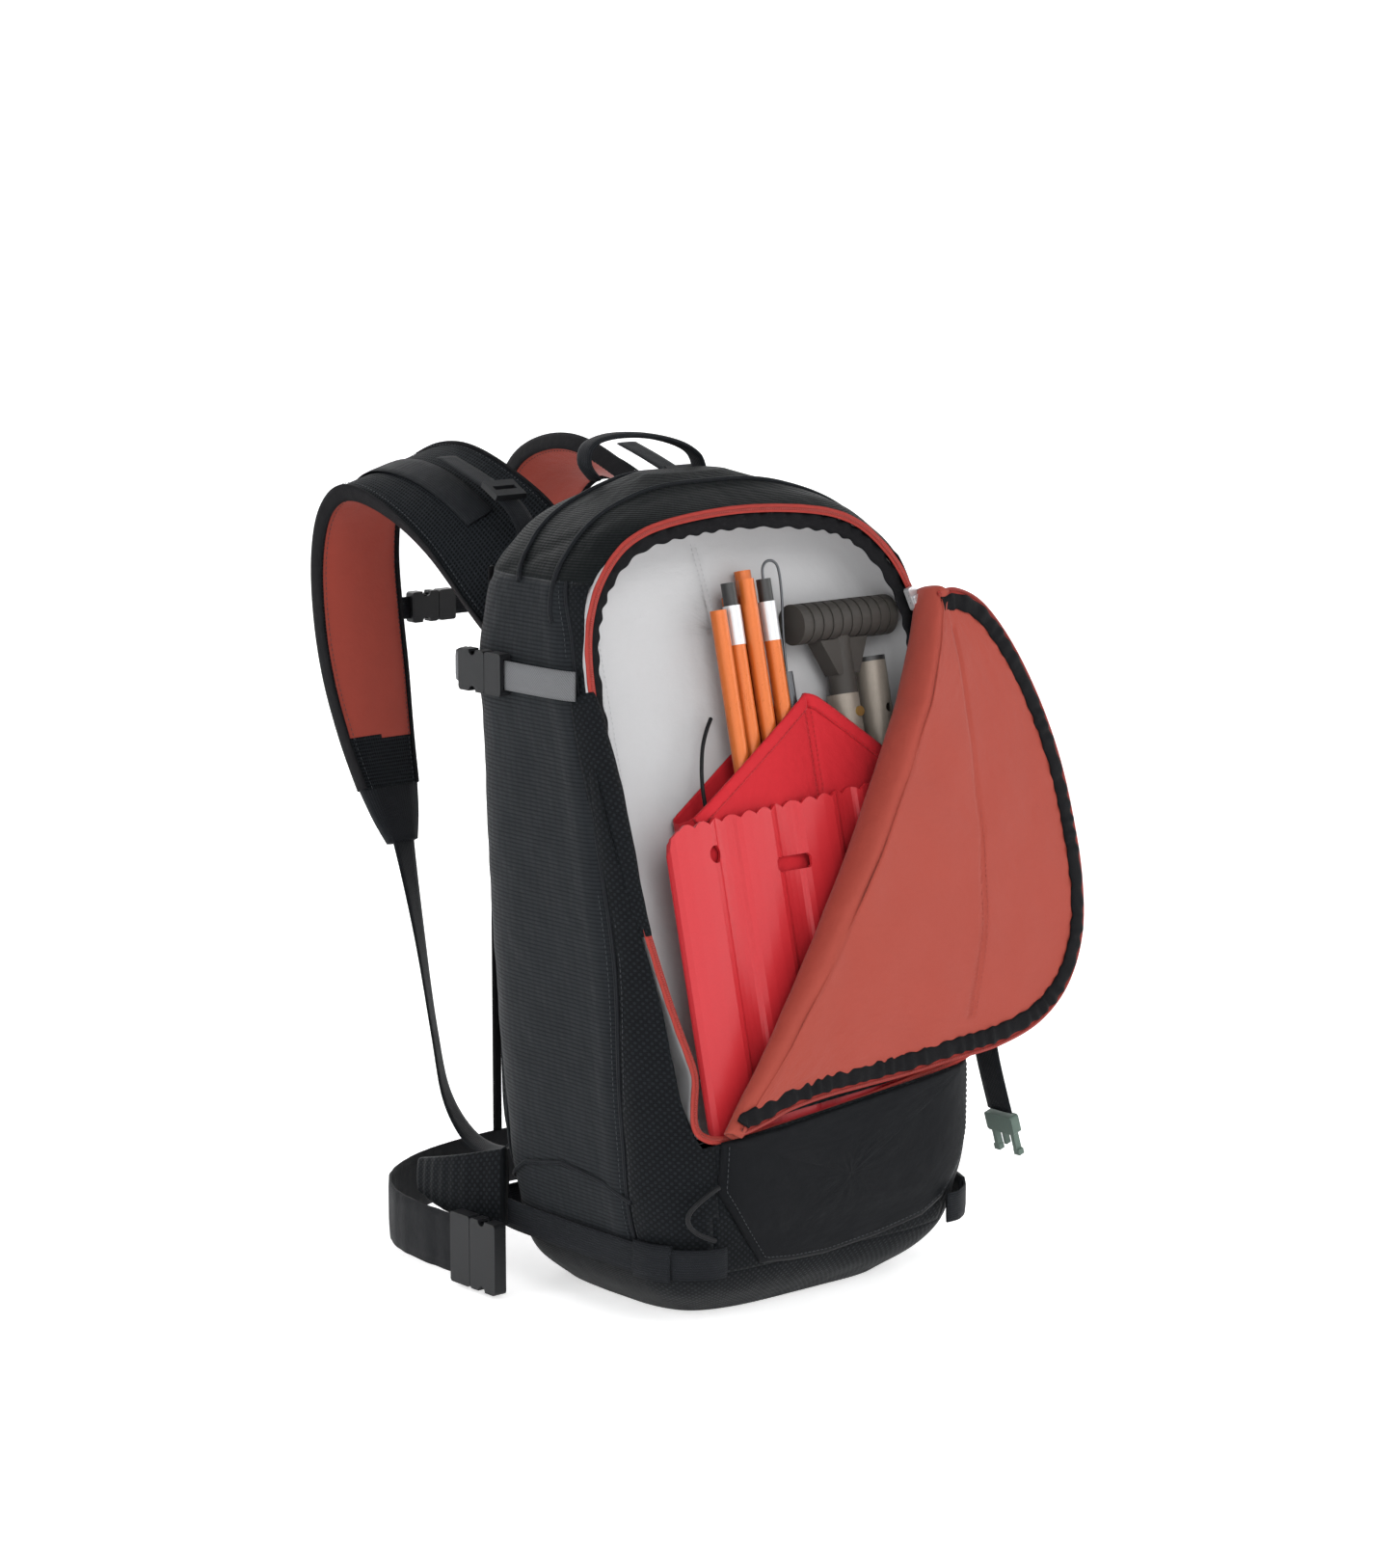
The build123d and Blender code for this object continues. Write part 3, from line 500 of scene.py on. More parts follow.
def strip(line: Array, across: Union[Array, Sequence[float]], width: Union[float, Array], thick: float,
          closed: bool = False, crown: float = 0.0, lift: Optional[Callable[[int, float], float]] = None,
          sides: int = 6) -> Cloth:
    """A flat strip with soft edges that follows a line.

    Args:
        line: Centre line in millimetres.
        across: Direction of its width, one for all or one for each point.
        width: Its width, one for all or one for each point.
        thick: Its thickness.
        closed: True for a ring.
        crown: Extra thickness at the middle.
        lift: Extra height for a station and a place across, from -1 to 1.
        sides: Points across each face.

    Returns:
        The grid of its skin.
    """
    t = tangents(line, closed)
    a = np.broadcast_to(np.asarray(across, float), line.shape)
    a = unit(a - t * np.sum(a * t, axis=1, keepdims=True))
    n = np.cross(t, a)
    w = np.broadcast_to(np.asarray(width, float), (len(line),))
    rows = []
    for i, c in enumerate(line):
        row = []
        for side in (1, -1):
            for k in range(sides):
                s = (-1 + 2 * k / (sides - 1)) * side
                edge = 0.55 if abs(s) > 0.999 else 1.0
                up = side * edge * (thick / 2 + crown * (1 - s * s)) + (lift(i, s) if lift else 0.0)
                row.append(c + a[i] * (w[i] / 2 * s * (1.0 if edge < 1 else 0.97)) + n[i] * up)
        rows.append(row)
    return Cloth(np.array(rows), ring=closed, loop=True, caps=not closed)


def settle(obj: bpy.types.Object, body: str, slot: str, *nodes: str) -> bpy.types.Object:
    """Rides a piece on its body and hides the CAD nodes it stands for."""
    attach(obj, body)
    if nodes:
        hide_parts(*nodes)
    LOG.info("%s rides on %s", obj.name, body)
    return obj


def recolour(finish: Finish, *nodes: str) -> None:
    """Gives CAD nodes of the right shape their finish."""
    for n in nodes:
        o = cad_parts[n]
        if not o.material_slots:
            o.data.materials.append(None)
        for s in o.material_slots:
            s.link = "OBJECT"
            s.material = finish.material()


@dataclass
class Row:
    """Geometry Nodes tree that sets one small shape after another along lines."""

    name: str
    finish: Finish
    pitch: float
    size: tuple[float, float, float]

    def tree(self) -> bpy.types.NodeTree:
        """The tree, with its pitch and the shape's three sizes as inputs."""
        t = bpy.data.node_groups.new(self.name + "_row", "GeometryNodeTree")
        for name, way, kind in (("Lines", "INPUT", "Geometry"), ("Pitch", "INPUT", "Float"),
                                ("Size", "INPUT", "Vector"), ("Result", "OUTPUT", "Geometry")):
            t.interface.new_socket(name, in_out=way, socket_type="NodeSocket" + kind)

        def add(kind: str, **settings: object) -> bpy.types.Node:
            """A node with its settings."""
            n = t.nodes.new(kind)
            for k, v in settings.items():
                setattr(n, k, v)
            return n

        start, end = add("NodeGroupInput"), add("NodeGroupOutput")
        curve = add("GeometryNodeMeshToCurve")
        again = add("GeometryNodeResampleCurve", mode="LENGTH")
        ball = add("GeometryNodeMeshUVSphere")
        for name, value in (("Segments", 6), ("Rings", 4), ("Radius", 0.5)):
            ball.inputs[name].default_value = value
        tangent = add("GeometryNodeInputTangent")
        up = add("GeometryNodeInputNamedAttribute", data_type="FLOAT_VECTOR")
        up.inputs["Name"].default_value = "up"
        first = add("FunctionNodeAlignRotationToVector", axis="Z")
        second = add("FunctionNodeAlignRotationToVector", axis="X", pivot_axis="Z")
        put = add("GeometryNodeInstanceOnPoints")
        real = add("GeometryNodeRealizeInstances")
        paint = add("GeometryNodeSetMaterial")
        paint.inputs["Material"].default_value = self.finish.material()
        flat = add("GeometryNodeSetShadeSmooth")
        for source, out, target, socket in (
                (start, "Lines", curve, 0), (curve, 0, again, "Curve"), (start, "Pitch", again, "Length"),
                (tangent, 0, first, "Vector"), (first, 0, second, "Rotation"), (up, 0, second, "Vector"),
                (again, 0, put, "Points"), (ball, 0, put, "Instance"), (second, 0, put, "Rotation"),
                (start, "Size", put, "Scale"), (put, 0, real, 0), (real, 0, flat, 0), (flat, 0, paint, 0),
                (paint, 0, end, 0)):
            t.links.new(source.outputs[out], target.inputs[socket])
        return t

    def lay(self, lines: Sequence[tuple[Array, Array, bool]]) -> bpy.types.Object:
        """Sets the shapes along lines.

        Args:
            lines: Each line's points in millimetres, its directions away from the cloth, and whether it closes.

        Returns:
            One plain mesh object.
        """
        verts, ups, edges = [], [], []
        for pts, up, closed in lines:
            k = len(verts)
            n = len(pts)
            verts += (pts * MM).tolist()
            ups += np.broadcast_to(up, pts.shape).tolist()
            edges += [(k + i, k + (i + 1) % n) for i in range(n if closed else n - 1)]
        mesh = bpy.data.meshes.new(self.name + "_path")
        mesh.from_pydata(verts, edges, [])
        mesh.attributes.new("up", "FLOAT_VECTOR", "POINT").data.foreach_set(
            "vector", np.array(ups, np.float32).ravel())
        guide = linked(self.name + "_guide", mesh)
        mod = guide.modifiers.new("row", "NODES")
        mod.node_group = self.tree()
        sockets = {s.name: s.identifier for s in mod.node_group.interface.items_tree if s.in_out == "INPUT"}
        mod[sockets["Pitch"]] = self.pitch * MM
        mod[sockets["Size"]] = [c * MM for c in self.size]
        bpy.context.view_layer.update()
        plain = bpy.data.meshes.new_from_object(guide.evaluated_get(bpy.context.evaluated_depsgraph_get()))
        bpy.data.objects.remove(guide)
        plain.name = self.name
        if not plain.materials:
            plain.materials.append(self.finish.material())
        return linked(self.name, plain)


# ---------------------------------------------------------------------------
# The bag
# ---------------------------------------------------------------------------
@dataclass
class BagForm:
    """The bag's outer form, section by section."""

    zs: list[float] = field(default_factory=lambda: [0, 16, 60, 118, 212, 348, 420, 468, 492, 510])
    half: list[float] = field(default_factory=lambda: [92, 112, 128, 135, 140, 146, 145, 124, 88, 34])
    front: list[float] = field(default_factory=lambda: [-72, -92, -107, -107.6, -93.2, -73, -52, -29.5, -9, 30])
    back: list[float] = field(default_factory=lambda: [76, 84, 91, 94, 98, 97, 96, 91, 82, 58])
    square: list[float] = field(default_factory=lambda: [4.2, 4.6, 6, 6, 4.8, 4.2, 4.2, 4.2, 4.2, 3])
    round: float = 4.2

    def between(self, z: Array, ys: Sequence[float]) -> Array:
        """Smooth values of a list of station sizes at heights z."""
        x, y = np.array(self.zs, float), np.array(ys, float)
        m = np.gradient(y, x)
        z = np.clip(np.asarray(z, float), x[0], x[-1])
        i = np.clip(np.searchsorted(x, z, side="right") - 1, 0, len(x) - 2)
        h = x[i + 1] - x[i]
        t = (z - x[i]) / h
        return ((2 * t ** 3 - 3 * t ** 2 + 1) * y[i] + (t ** 3 - 2 * t ** 2 + t) * h * m[i]
                + (-2 * t ** 3 + 3 * t ** 2) * y[i + 1] + (t ** 3 - t ** 2) * h * m[i + 1])

    def point(self, turn: Array, z: Array, out: float = 0.0) -> Array:
        """Points of the skin at turns round the bag and heights, out millimetres proud."""
        turn, z = np.broadcast_arrays(np.asarray(turn, float), np.asarray(z, float))
        w = self.between(z, self.half) + out
        f, b = self.between(z, self.front) - out, self.between(z, self.back) + out
        c, h = (f + b) / 2, (b - f) / 2
        ca, sa = np.cos(turn) * w, np.sin(turn) * h
        ln = np.hypot(ca, sa)
        ca, sa = ca / ln, sa / ln
        e = np.where(sa > 0, self.round, self.between(z, self.square))
        r = (np.abs(ca / w) ** e + np.abs(sa / h) ** e) ** (-1 / e)
        return np.stack([r * ca, c + r * sa, z], axis=-1)

    def section(self, z: float) -> tuple[float, float, float]:
        """Half width, middle depth and half depth at height z."""
        w, f, b = (float(self.between(z, q)) for q in (self.half, self.front, self.back))
        return w, (f + b) / 2, (b - f) / 2

    def front_at(self, x: float, z: float, out: float = 0.0) -> Array:
        """Point of the front face at x and height z."""
        w, c, h = self.section(z)
        e = float(self.between(z, self.square))
        k = max(1 - abs(min(abs(x) / w, 0.999)) ** e, 1e-4)
        return np.array([x, c - h * k ** (1 / e) - out, z])

    def side_at(self, y: float, z: float, side: int, out: float = 0.0) -> Array:
        """Point of a side at depth y and height z; side is -1 for the left."""
        w, c, h = self.section(z)
        e = self.round if y > c else float(self.between(z, self.square))
        k = max(1 - min(abs(y - c) / h, 0.999) ** e, 1e-4)
        return np.array([side * (w * k ** (1 / e) + out), y, z])


FORM = BagForm()
SEAM = [(-6, 455), (-28, 402), (-42, 320), (-56, 229), (-60, 140), (-61, 79), (-62, 52)]


@dataclass
class BagShell:
    """The black outer cloth of the bag, in panels."""

    turns: int = 380
    steps: int = 210
    base_top: float = 34.0
    shoulder: float = 455.0
    side_x: float = 97.0
    door_x: float = 88.0
    door_z: float = 186.5
    door_mid: float = 261.5
    door_round: float = 22.0

    def seam_y(self, z: float) -> float:
        """Depth of the side seam at height z."""
        pts = sorted(SEAM, key=lambda p: p[1])
        return float(np.interp(z, [p[1] for p in pts], [p[0] for p in pts]))

    def relief(self, p: Array) -> float:
        """How far the cloth sinks (below 0) or stands out at a point of the form."""
        x, y, z = p
        d = -0.9 + 0.9 * wobble((x, y, z * 0.6), 62, 3.1) + 0.5 * wobble((x, y, z * 1.6), 26, 8.2)
        if abs(x) > 90 and 52 < z < 455:
            gap = abs(y - self.seam_y(z))
            d -= 1.9 * math.exp(-(gap / 2.6) ** 2)
            d += 1.2 * math.exp(-((gap - 12) / 8) ** 2)
        if x < -60 and z > 210:
            # the side cloth rolls over the zip between the fold and the upper strap
            lift = math.exp(-((z - 332) / 50) ** 2) * math.exp(-((y - (RIM_Y - SLOPE * (RIM_Z - z))) / 22) ** 2)
            d += 4.0 * lift
        arc = 462 + 30 * math.cos(min(abs(x) / 132, 1) * math.pi / 2)
        if z > 400:
            d -= 1.4 * math.exp(-((z - arc + (y - 40) * 0.35) / 2.4) ** 2)
        return d

    def skin(self) -> bpy.types.Mesh:
        """The whole closed skin, before it is cut."""
        turn = np.linspace(0, 2 * math.pi, self.turns, endpoint=False)
        turn = turn - 0.14 * np.sin(4 * turn) + 0.001
        heights = np.concatenate([np.linspace(0, 30, 16), np.linspace(32, 480, self.steps - 46),
                                  np.linspace(481.5, 510, 30)])
        levels = [(0.0, s) for s in (0.03, 0.3, 0.6, 0.85)] + [(z, 1.0) for z in heights]
        levels += [(510.5, s) for s in (0.85, 0.5, 0.2, 0.03)]
        rows = []
        for z, s in levels:
            ring = FORM.point(turn, min(z, 510.0))
            c = ring.mean(axis=0)
            out = unit(np.stack([ring[:, 0], (ring[:, 1] - c[1]), np.zeros(len(ring))], axis=1))
            push = np.array([self.relief(p) for p in ring]) if s == 1.0 else np.full(len(ring), -0.9)
            ring = ring + out * push[:, None]
            ring[:, :2] = c[:2] + (ring[:, :2] - c[:2]) * s
            ring[:, 2] = z
            rows.append(ring)
        whole = Cloth(np.array(rows), loop=True, caps=True).shape("whole_skin", [SIDE_RIBS])
        mesh = whole.data
        bpy.data.objects.remove(whole)
        return mesh

    def cut(self, b: bmesh.types.BMesh) -> None:
        """Takes the front opening and the back door's hole out of the skin."""
        n, o = Vector(OUTWARD), Vector(on_rim(0, RIM_Z) * MM)
        (x0, z0), (x1, z1) = RIM[0], RIM[-1]
        cut_n = Vector((x1 - x0, 0, z1 - z0)).normalized().cross(n).normalized()
        if cut_n.z < 0:
            cut_n = -cut_n
        co = Vector(on_rim(x0, z0) * MM)
        for place, direction in ((co, cut_n), (o, n)):
            bmesh.ops.bisect_plane(b, geom=b.verts[:] + b.edges[:] + b.faces[:], plane_co=place,
                                   plane_no=direction, dist=1e-6)

        def opened(f: bmesh.types.BMFace) -> bool:
            """True in front of the opening's plane and above its lower edge."""
            c = f.calc_center_median()
            return (c - o) @ n > 1e-5 and (c - co) @ cut_n > 0 and c.z > 0.1

        bmesh.ops.delete(b, geom=[f for f in b.faces if opened(f)], context="FACES")
        gone = [f for f in b.faces if self.in_door(f.calc_center_median() * 1000)]
        bmesh.ops.delete(b, geom=gone, context="FACES")
        for v in b.verts:
            if v.is_boundary and v.co.y > 0.04 and v.co.z < 0.48:
                self.snap(v)
        bmesh.ops.recalc_face_normals(b, faces=b.faces)

    def panel(self, c: Vector) -> str:
        """Name of the panel that a face belongs to, from its centre."""
        if c.z < self.base_top:
            return "base_shell"
        if c.z > self.shoulder:
            return "top_shell"
        if abs(c.x) <= self.side_x and c.y < 0:
            return "front_shell"
        return "side_shell_left" if c.x < 0 else "side_shell_right"

    def build(self) -> None:
        """Makes the five panels."""
        mesh = self.skin()
        b = bmesh.new()
        b.from_mesh(mesh)
        self.cut(b)
        b.faces.index_update()
        panels = {f.index: self.panel(f.calc_center_median() * 1000) for f in b.faces}
        b.to_mesh(mesh)
        b.free()
        sides = [SIDE_RIBS, SIDE_DOTS]
        for name, finishes, slot, node in (
                ("base_shell", [BASE_CLOTH, SIDE_DOTS], "base_fabric", "base_tub"),
                ("top_shell", [TOP_RIBS], "top_fabric", "top_panel"),
                ("side_shell_left", sides, "side_fabric", "side_panel_left"),
                ("side_shell_right", sides, "side_fabric", "side_panel_right"),
                ("front_shell", [SIDE_DOTS], "front_fabric", "lower_front_panel")):
            part = mesh.copy()
            part.name = name
            part.materials.clear()
            q = bmesh.new()
            q.from_mesh(part)
            q.faces.ensure_lookup_table()
            bmesh.ops.delete(q, geom=[f for f in q.faces if panels[f.index] != name], context="FACES")
            q.to_mesh(part)
            q.free()
            pick = self.dotted if len(finishes) > 1 else None
            settle(dress(part, name, finishes, pick, thick=1.4), "pack", slot, node)

    def dotted(self, c: Array) -> int:
        """1 for the dotted cloth in front of the side seam."""
        return int(c[1] < self.seam_y(c[2]))

    def in_door(self, c: Sequence[float]) -> bool:
        """True inside the back door's outline."""
        x, z = abs(c[0]), abs(c[2] - self.door_mid)
        return c[1] >= 40 and math.hypot(max(x - self.door_x, 0), max(z - self.door_z, 0)) < self.door_round

    def snap(self, v: bmesh.types.BMVert) -> None:
        """Moves an edge vertex of the door hole onto its outline."""
        x, z = abs(v.co.x) * 1000, v.co.z * 1000 - self.door_mid
        cx, cz = min(x, self.door_x), max(min(z, self.door_z), -self.door_z)
        dx, dz = x - cx, z - cz
        ln = math.hypot(dx, dz)
        if ln > 1e-6:
            v.co.x = math.copysign((cx + dx / ln * self.door_round) * MM, v.co.x)
            v.co.z = (cz + dz / ln * self.door_round + self.door_mid) * MM

    def front_panel(self) -> None:
        """The smooth panel with cut corners on the lower front."""
        outline = [(-93, 120), (-97, 89), (-80, 64), (-60, 37), (-34, 34), (-6, 33), (36, 37), (76, 43), (95, 52),
                   (110, 74), (117, 92), (120, 120), (122, 139), (112, 136), (60, 131.5), (10, 127), (-50, 121.6)]
        mid_x, mid_z, flush = 8, 84, 0.3
        edge = even(np.array(outline, float), 160, True)
        rows = []
        for s in np.linspace(1, 0.02, 26):
            row = []
            for x, z in edge:
                xx, zz = mid_x + (x - mid_x) * s, mid_z + (z - mid_z) * s
                puff = 1.6 + 1.1 * (1 - s ** 4) + 0.5 * wobble((xx, 0, zz), 40, 1.7) * (1 - s ** 6)
                row.append(FORM.front_at(xx, zz, puff if s < 0.995 else flush))
            rows.append(row)
        skin = Cloth(np.array(rows), loop=True, hub=True)
        settle(skin.shape("lower_front_cover", [PLAIN_BLACK], away=(0, -1, 0), thick=1.2), "pack", "front_fabric")

    def storm_edge(self) -> None:
        """The side cloth where it rolls over the zip."""
        count = 80
        rim = even(through([(-124, 246), (-130, 278), (-138, 348), (-139.5, 392)], 10), count)
        rows = []
        for k, (x, z) in enumerate(rim):
            share = k / (count - 1)
            g = math.sin(math.pi * share) ** 0.7 * (0.55 + 0.65 * share)
            w = 0.8 * wobble((0, 0, z), 16, 3.3)
            # across the roll: how far towards the opening, and how far out of its plane
            section = [(-7.0, -9.5 - 1.0 * g), (-4.6, -3.5 + 2.2 * g), (-1.2, 1.2 + 3.0 * g),
                       (2.0 + 3.2 * g, 2.4 + 3.2 * g + w * 0.3), (3.2 + 6.8 * g + w, 1.9 + 2.0 * g),
                       (3.0 + 7.4 * g + w, 0.6 + 0.6 * g), (1.0, 0.2)]
            rows.append([on_rim(x + d, z, h) for d, h in section])
        skin = Cloth(np.array([through(r, 4) for r in rows]))
        settle(skin.shape("side_storm_edge", [SIDE_DOTS], away=(-0.5, -0.8, 0.1), thick=0.8), "pack", "side_fabric")

    def ridges(self) -> None:
        """Raised seams on the sides, the shoulders and round the base."""
        side_pts = even(through(SEAM[::-1], 6), 130)
        base_pts = through(even(np.array([(78, 62), (40, 84), (0, 92), (-40, 88), (-66, 80)], float), 60).tolist(), 2)
        for side, tag in ((-1, "left"), (1, "right")):
            for name, pts, sunk, across, size in (("side_seam", side_pts, -1.5, (0, 1, 0), (3.4, 1.6, 0.5)),
                                                  ("base_seam", base_pts, 0.1, (0, 0, 1), (3.0, 1.0, 0.4))):
                line = np.array([FORM.side_at(y, z, side, sunk) for y, z in pts])
                skin = strip(line, across, size[0], size[1], crown=size[2])
                settle(skin.shape(f"{name}_{tag}", [WEB_BLACK]), "pack", "side_fabric")
        for k, (low, back) in enumerate(((430, -6), (452, 34))):
            pts = even(np.array([self.shoulder_point(a, low, back) for a in np.linspace(-1, 1, 140)]), 160)
            out = unit(pts - np.array([0.0, 40.0, 250.0]))
            skin = strip(pts + out * 0.2, np.cross(tangents(pts), out), 3.4, 1.8, crown=0.5)
            settle(skin.shape(f"shoulder_seam_{k}", [WEB_BLACK]), "pack", "top_fabric")

    def shoulder_point(self, a: float, low: float, back: float) -> tuple[float, float, float]:
        """Point of a seam over the shoulders.

        Args:
            a: Place along it, from -1 at the left to 1 at the right.
            low: Height of its ends.
            back: Depth of its ends.

        Returns:
            The point on the form's skin.
        """
        reach = a * math.pi / 2 * 0.985
        x, z = 143 * math.sin(reach), low + (505 - low) * math.cos(reach) ** 1.3
        y = back + 26 * math.cos(a * math.pi / 2)
        w, c, h = FORM.section(z)
        e = FORM.round
        edge = (1 - min(abs(y - c) / h, 0.999) ** e) ** (1 / e) * w
        if abs(x) > edge:
            return math.copysign(edge, x), y, z
        lo, hi = z, 510.0
        for _ in range(24):
            m = (lo + hi) / 2
            w, c, h = FORM.section(m)
            inside = abs(x / w) ** e + abs(min(abs(y - c) / h, 1.5)) ** e < 1
            lo, hi = (m, hi) if inside else (lo, m)
        return x, y, lo

    def seams(self) -> None:
        """Thread along the side seams and the front cover."""
        lines = []
        for side in (-1, 1):
            for shift in (-4.5, 4.5):
                pts = even(through([(y + shift, z) for y, z in SEAM[::-1]], 6), 120)
                out = np.array([FORM.side_at(y, z, side, -0.4) for y, z in pts])
                lines.append((out, np.array([side, 0.0, 0.0]), False))
        edge = even(np.array([(-89, 116), (-92, 90), (-77, 67), (-58, 41), (-34, 38), (-6, 37), (36, 41), (74, 47),
                              (92, 56), (106, 76), (113, 94), (116, 120), (117, 134)], float), 150)
        lines.append((np.array([FORM.front_at(x, z, 2.4) for x, z in edge]), np.array([0.0, -1.0, 0.0]), False))
        settle(Row("shell_stitches", THREAD_BLACK, 3.4, (0.45, 0.6, 2.4)).lay(lines), "pack", "side_fabric")


# ---------------------------------------------------------------------------
# The opening: lining, zip, binding
# ---------------------------------------------------------------------------
@dataclass
class Opening:
    """Grey lined pocket with its coral zip and the gathered binding."""

    deep: float = -36.3
    foot: float = 19.0
    gathered_above: float = 322.0

    def rim(self, count: int) -> Array:
        """(x, z) points round the opening."""
        return even(through(RIM, 10, True), count, True)

    def inset(self, pts: Array, d: float) -> Array:
        """(x, z) points moved d towards the inside."""
        t = tangents(pts, True)
        return pts + np.stack([t[:, 1], -t[:, 0]], axis=1) * d

    def lining(self) -> None:
        """The pocket's lining, a bowl that curves down to its back."""
        rim = self.rim(260)
        rows = []
        for d, h in ((1.4, -0.8), (2.4, -5), (3.2, -10), (4.0, -17), (5.2, -24), (8.0, -30), (12.5, -34),
                     (self.foot, self.deep)):
            ring = self.inset(rim, d)
            deeper = [min(max((z - 300) / 60, 0), 1) for _, z in ring]
            rows.append([on_rim(x, z, h - 5.5 * k * max(0, 1 - d / 12) + 0.8 * wobble((x, z, h), 18, 5.0))
                         for (x, z), k in zip(ring, deeper)])
        start = self.inset(rim, self.foot)
        for s in np.linspace(0.06, 0.985, 30):
            row = []
            for x, z in start:
                tz = min(max(z, 200), 420)
                xx, zz = x - x * s, z + (tz - z) * s
                fold = 0.9 * wobble((xx * 1.4, 0, zz * 0.6), 24, 9.0) + 0.7 * wobble((xx, 0, zz), 60, 2.0)
                seam = 1.5 * math.exp(-((xx + 8 + (zz - 460) * 0.1) / 2.0) ** 2) if zz > 420 else 0.0
                side = 1.3 * math.exp(-((xx + 97) / 1.8) ** 2) * (1 if 170 < zz < 440 else 0)
                row.append(on_rim(xx, zz, self.deep - 0.2 + fold - seam - side))
            rows.append(row)
        skin = Cloth(np.array(rows), loop=True, hub=True)
        settle(skin.shape("pocket_lining", [GREY_LINING], away=OUTWARD, thick=0.8), "pack", "grey_lining",
               "divider_panel", "pocket_floor")
        lines = []
        for off in (-1.8, 1.8):
            for seam, count in (([(-97 + off, 175), (-97 + off, 300), (-99 + off, 430)], 60),
                                ([(-12 + off, 478), (-5 + off, 430)], 20)):
                lines.append((lifted(even(np.array(seam), count), self.deep + 0.6), OUTWARD, False))
        settle(Row("lining_stitches", THREAD_GREY, 3.2, (0.4, 0.5, 2.2)).lay(lines), "pack", "grey_lining")

    def zip(self) -> None:
        """Coral tape and coil round the opening."""
        ring = self.rim(420)
        inward = lifted(self.inset(ring, 8)) - lifted(ring)
        tape = strip(lifted(self.inset(ring, 1.9), 1.0), inward, 5.2, 1.2, closed=True,
                     lift=lambda i, s: 0.25 * math.sin(i * 0.9) * max(-s, 0))
        settle(tape.shape("opening_zip_tape", [CORAL_TAPE]), "pack", "coral_zip", "opening_zip")
        coil = lifted(self.inset(ring, 2.4), 1.9)
        teeth = Row("opening_zip_coil", CORAL_TEETH, 1.4, (1.2, 2.2, 1.0)).lay([(coil, OUTWARD, True)])
        settle(teeth, "pack", "coral_zip")

    def binding(self) -> None:
        """The gathered black binding round the upper edge."""
        ring = self.rim(900)
        upper = ring[:, 1] > self.gathered_above
        pts = lifted(self.inset(ring, 8.2)[upper], -2.2)
        reach = np.clip((ring[upper, 0] + 120) / 150, 0.0, 1.0)

        def ruffle(i: int, s: float) -> float:
            """Height of the gathers."""
            fold = 1.1 * math.sin(i * 0.62 + 1.4 * math.sin(i * 0.11)) + 0.6 * wobble((i, 0, s), 5.0, 4.0)
            return fold * (0.4 + 0.6 * s)

        wide = np.array([7.5 + 3.5 * r + 1.5 * math.sin(i * 0.5 + 2 * math.sin(i * 0.07)) for i, r in enumerate(reach)])
        skin = strip(pts, np.cross(OUTWARD, tangents(pts)), wide, 1.4, lift=ruffle, crown=0.5)
        settle(skin.shape("opening_gathered_binding", [BINDING]), "pack", "binding", "opening_binding")


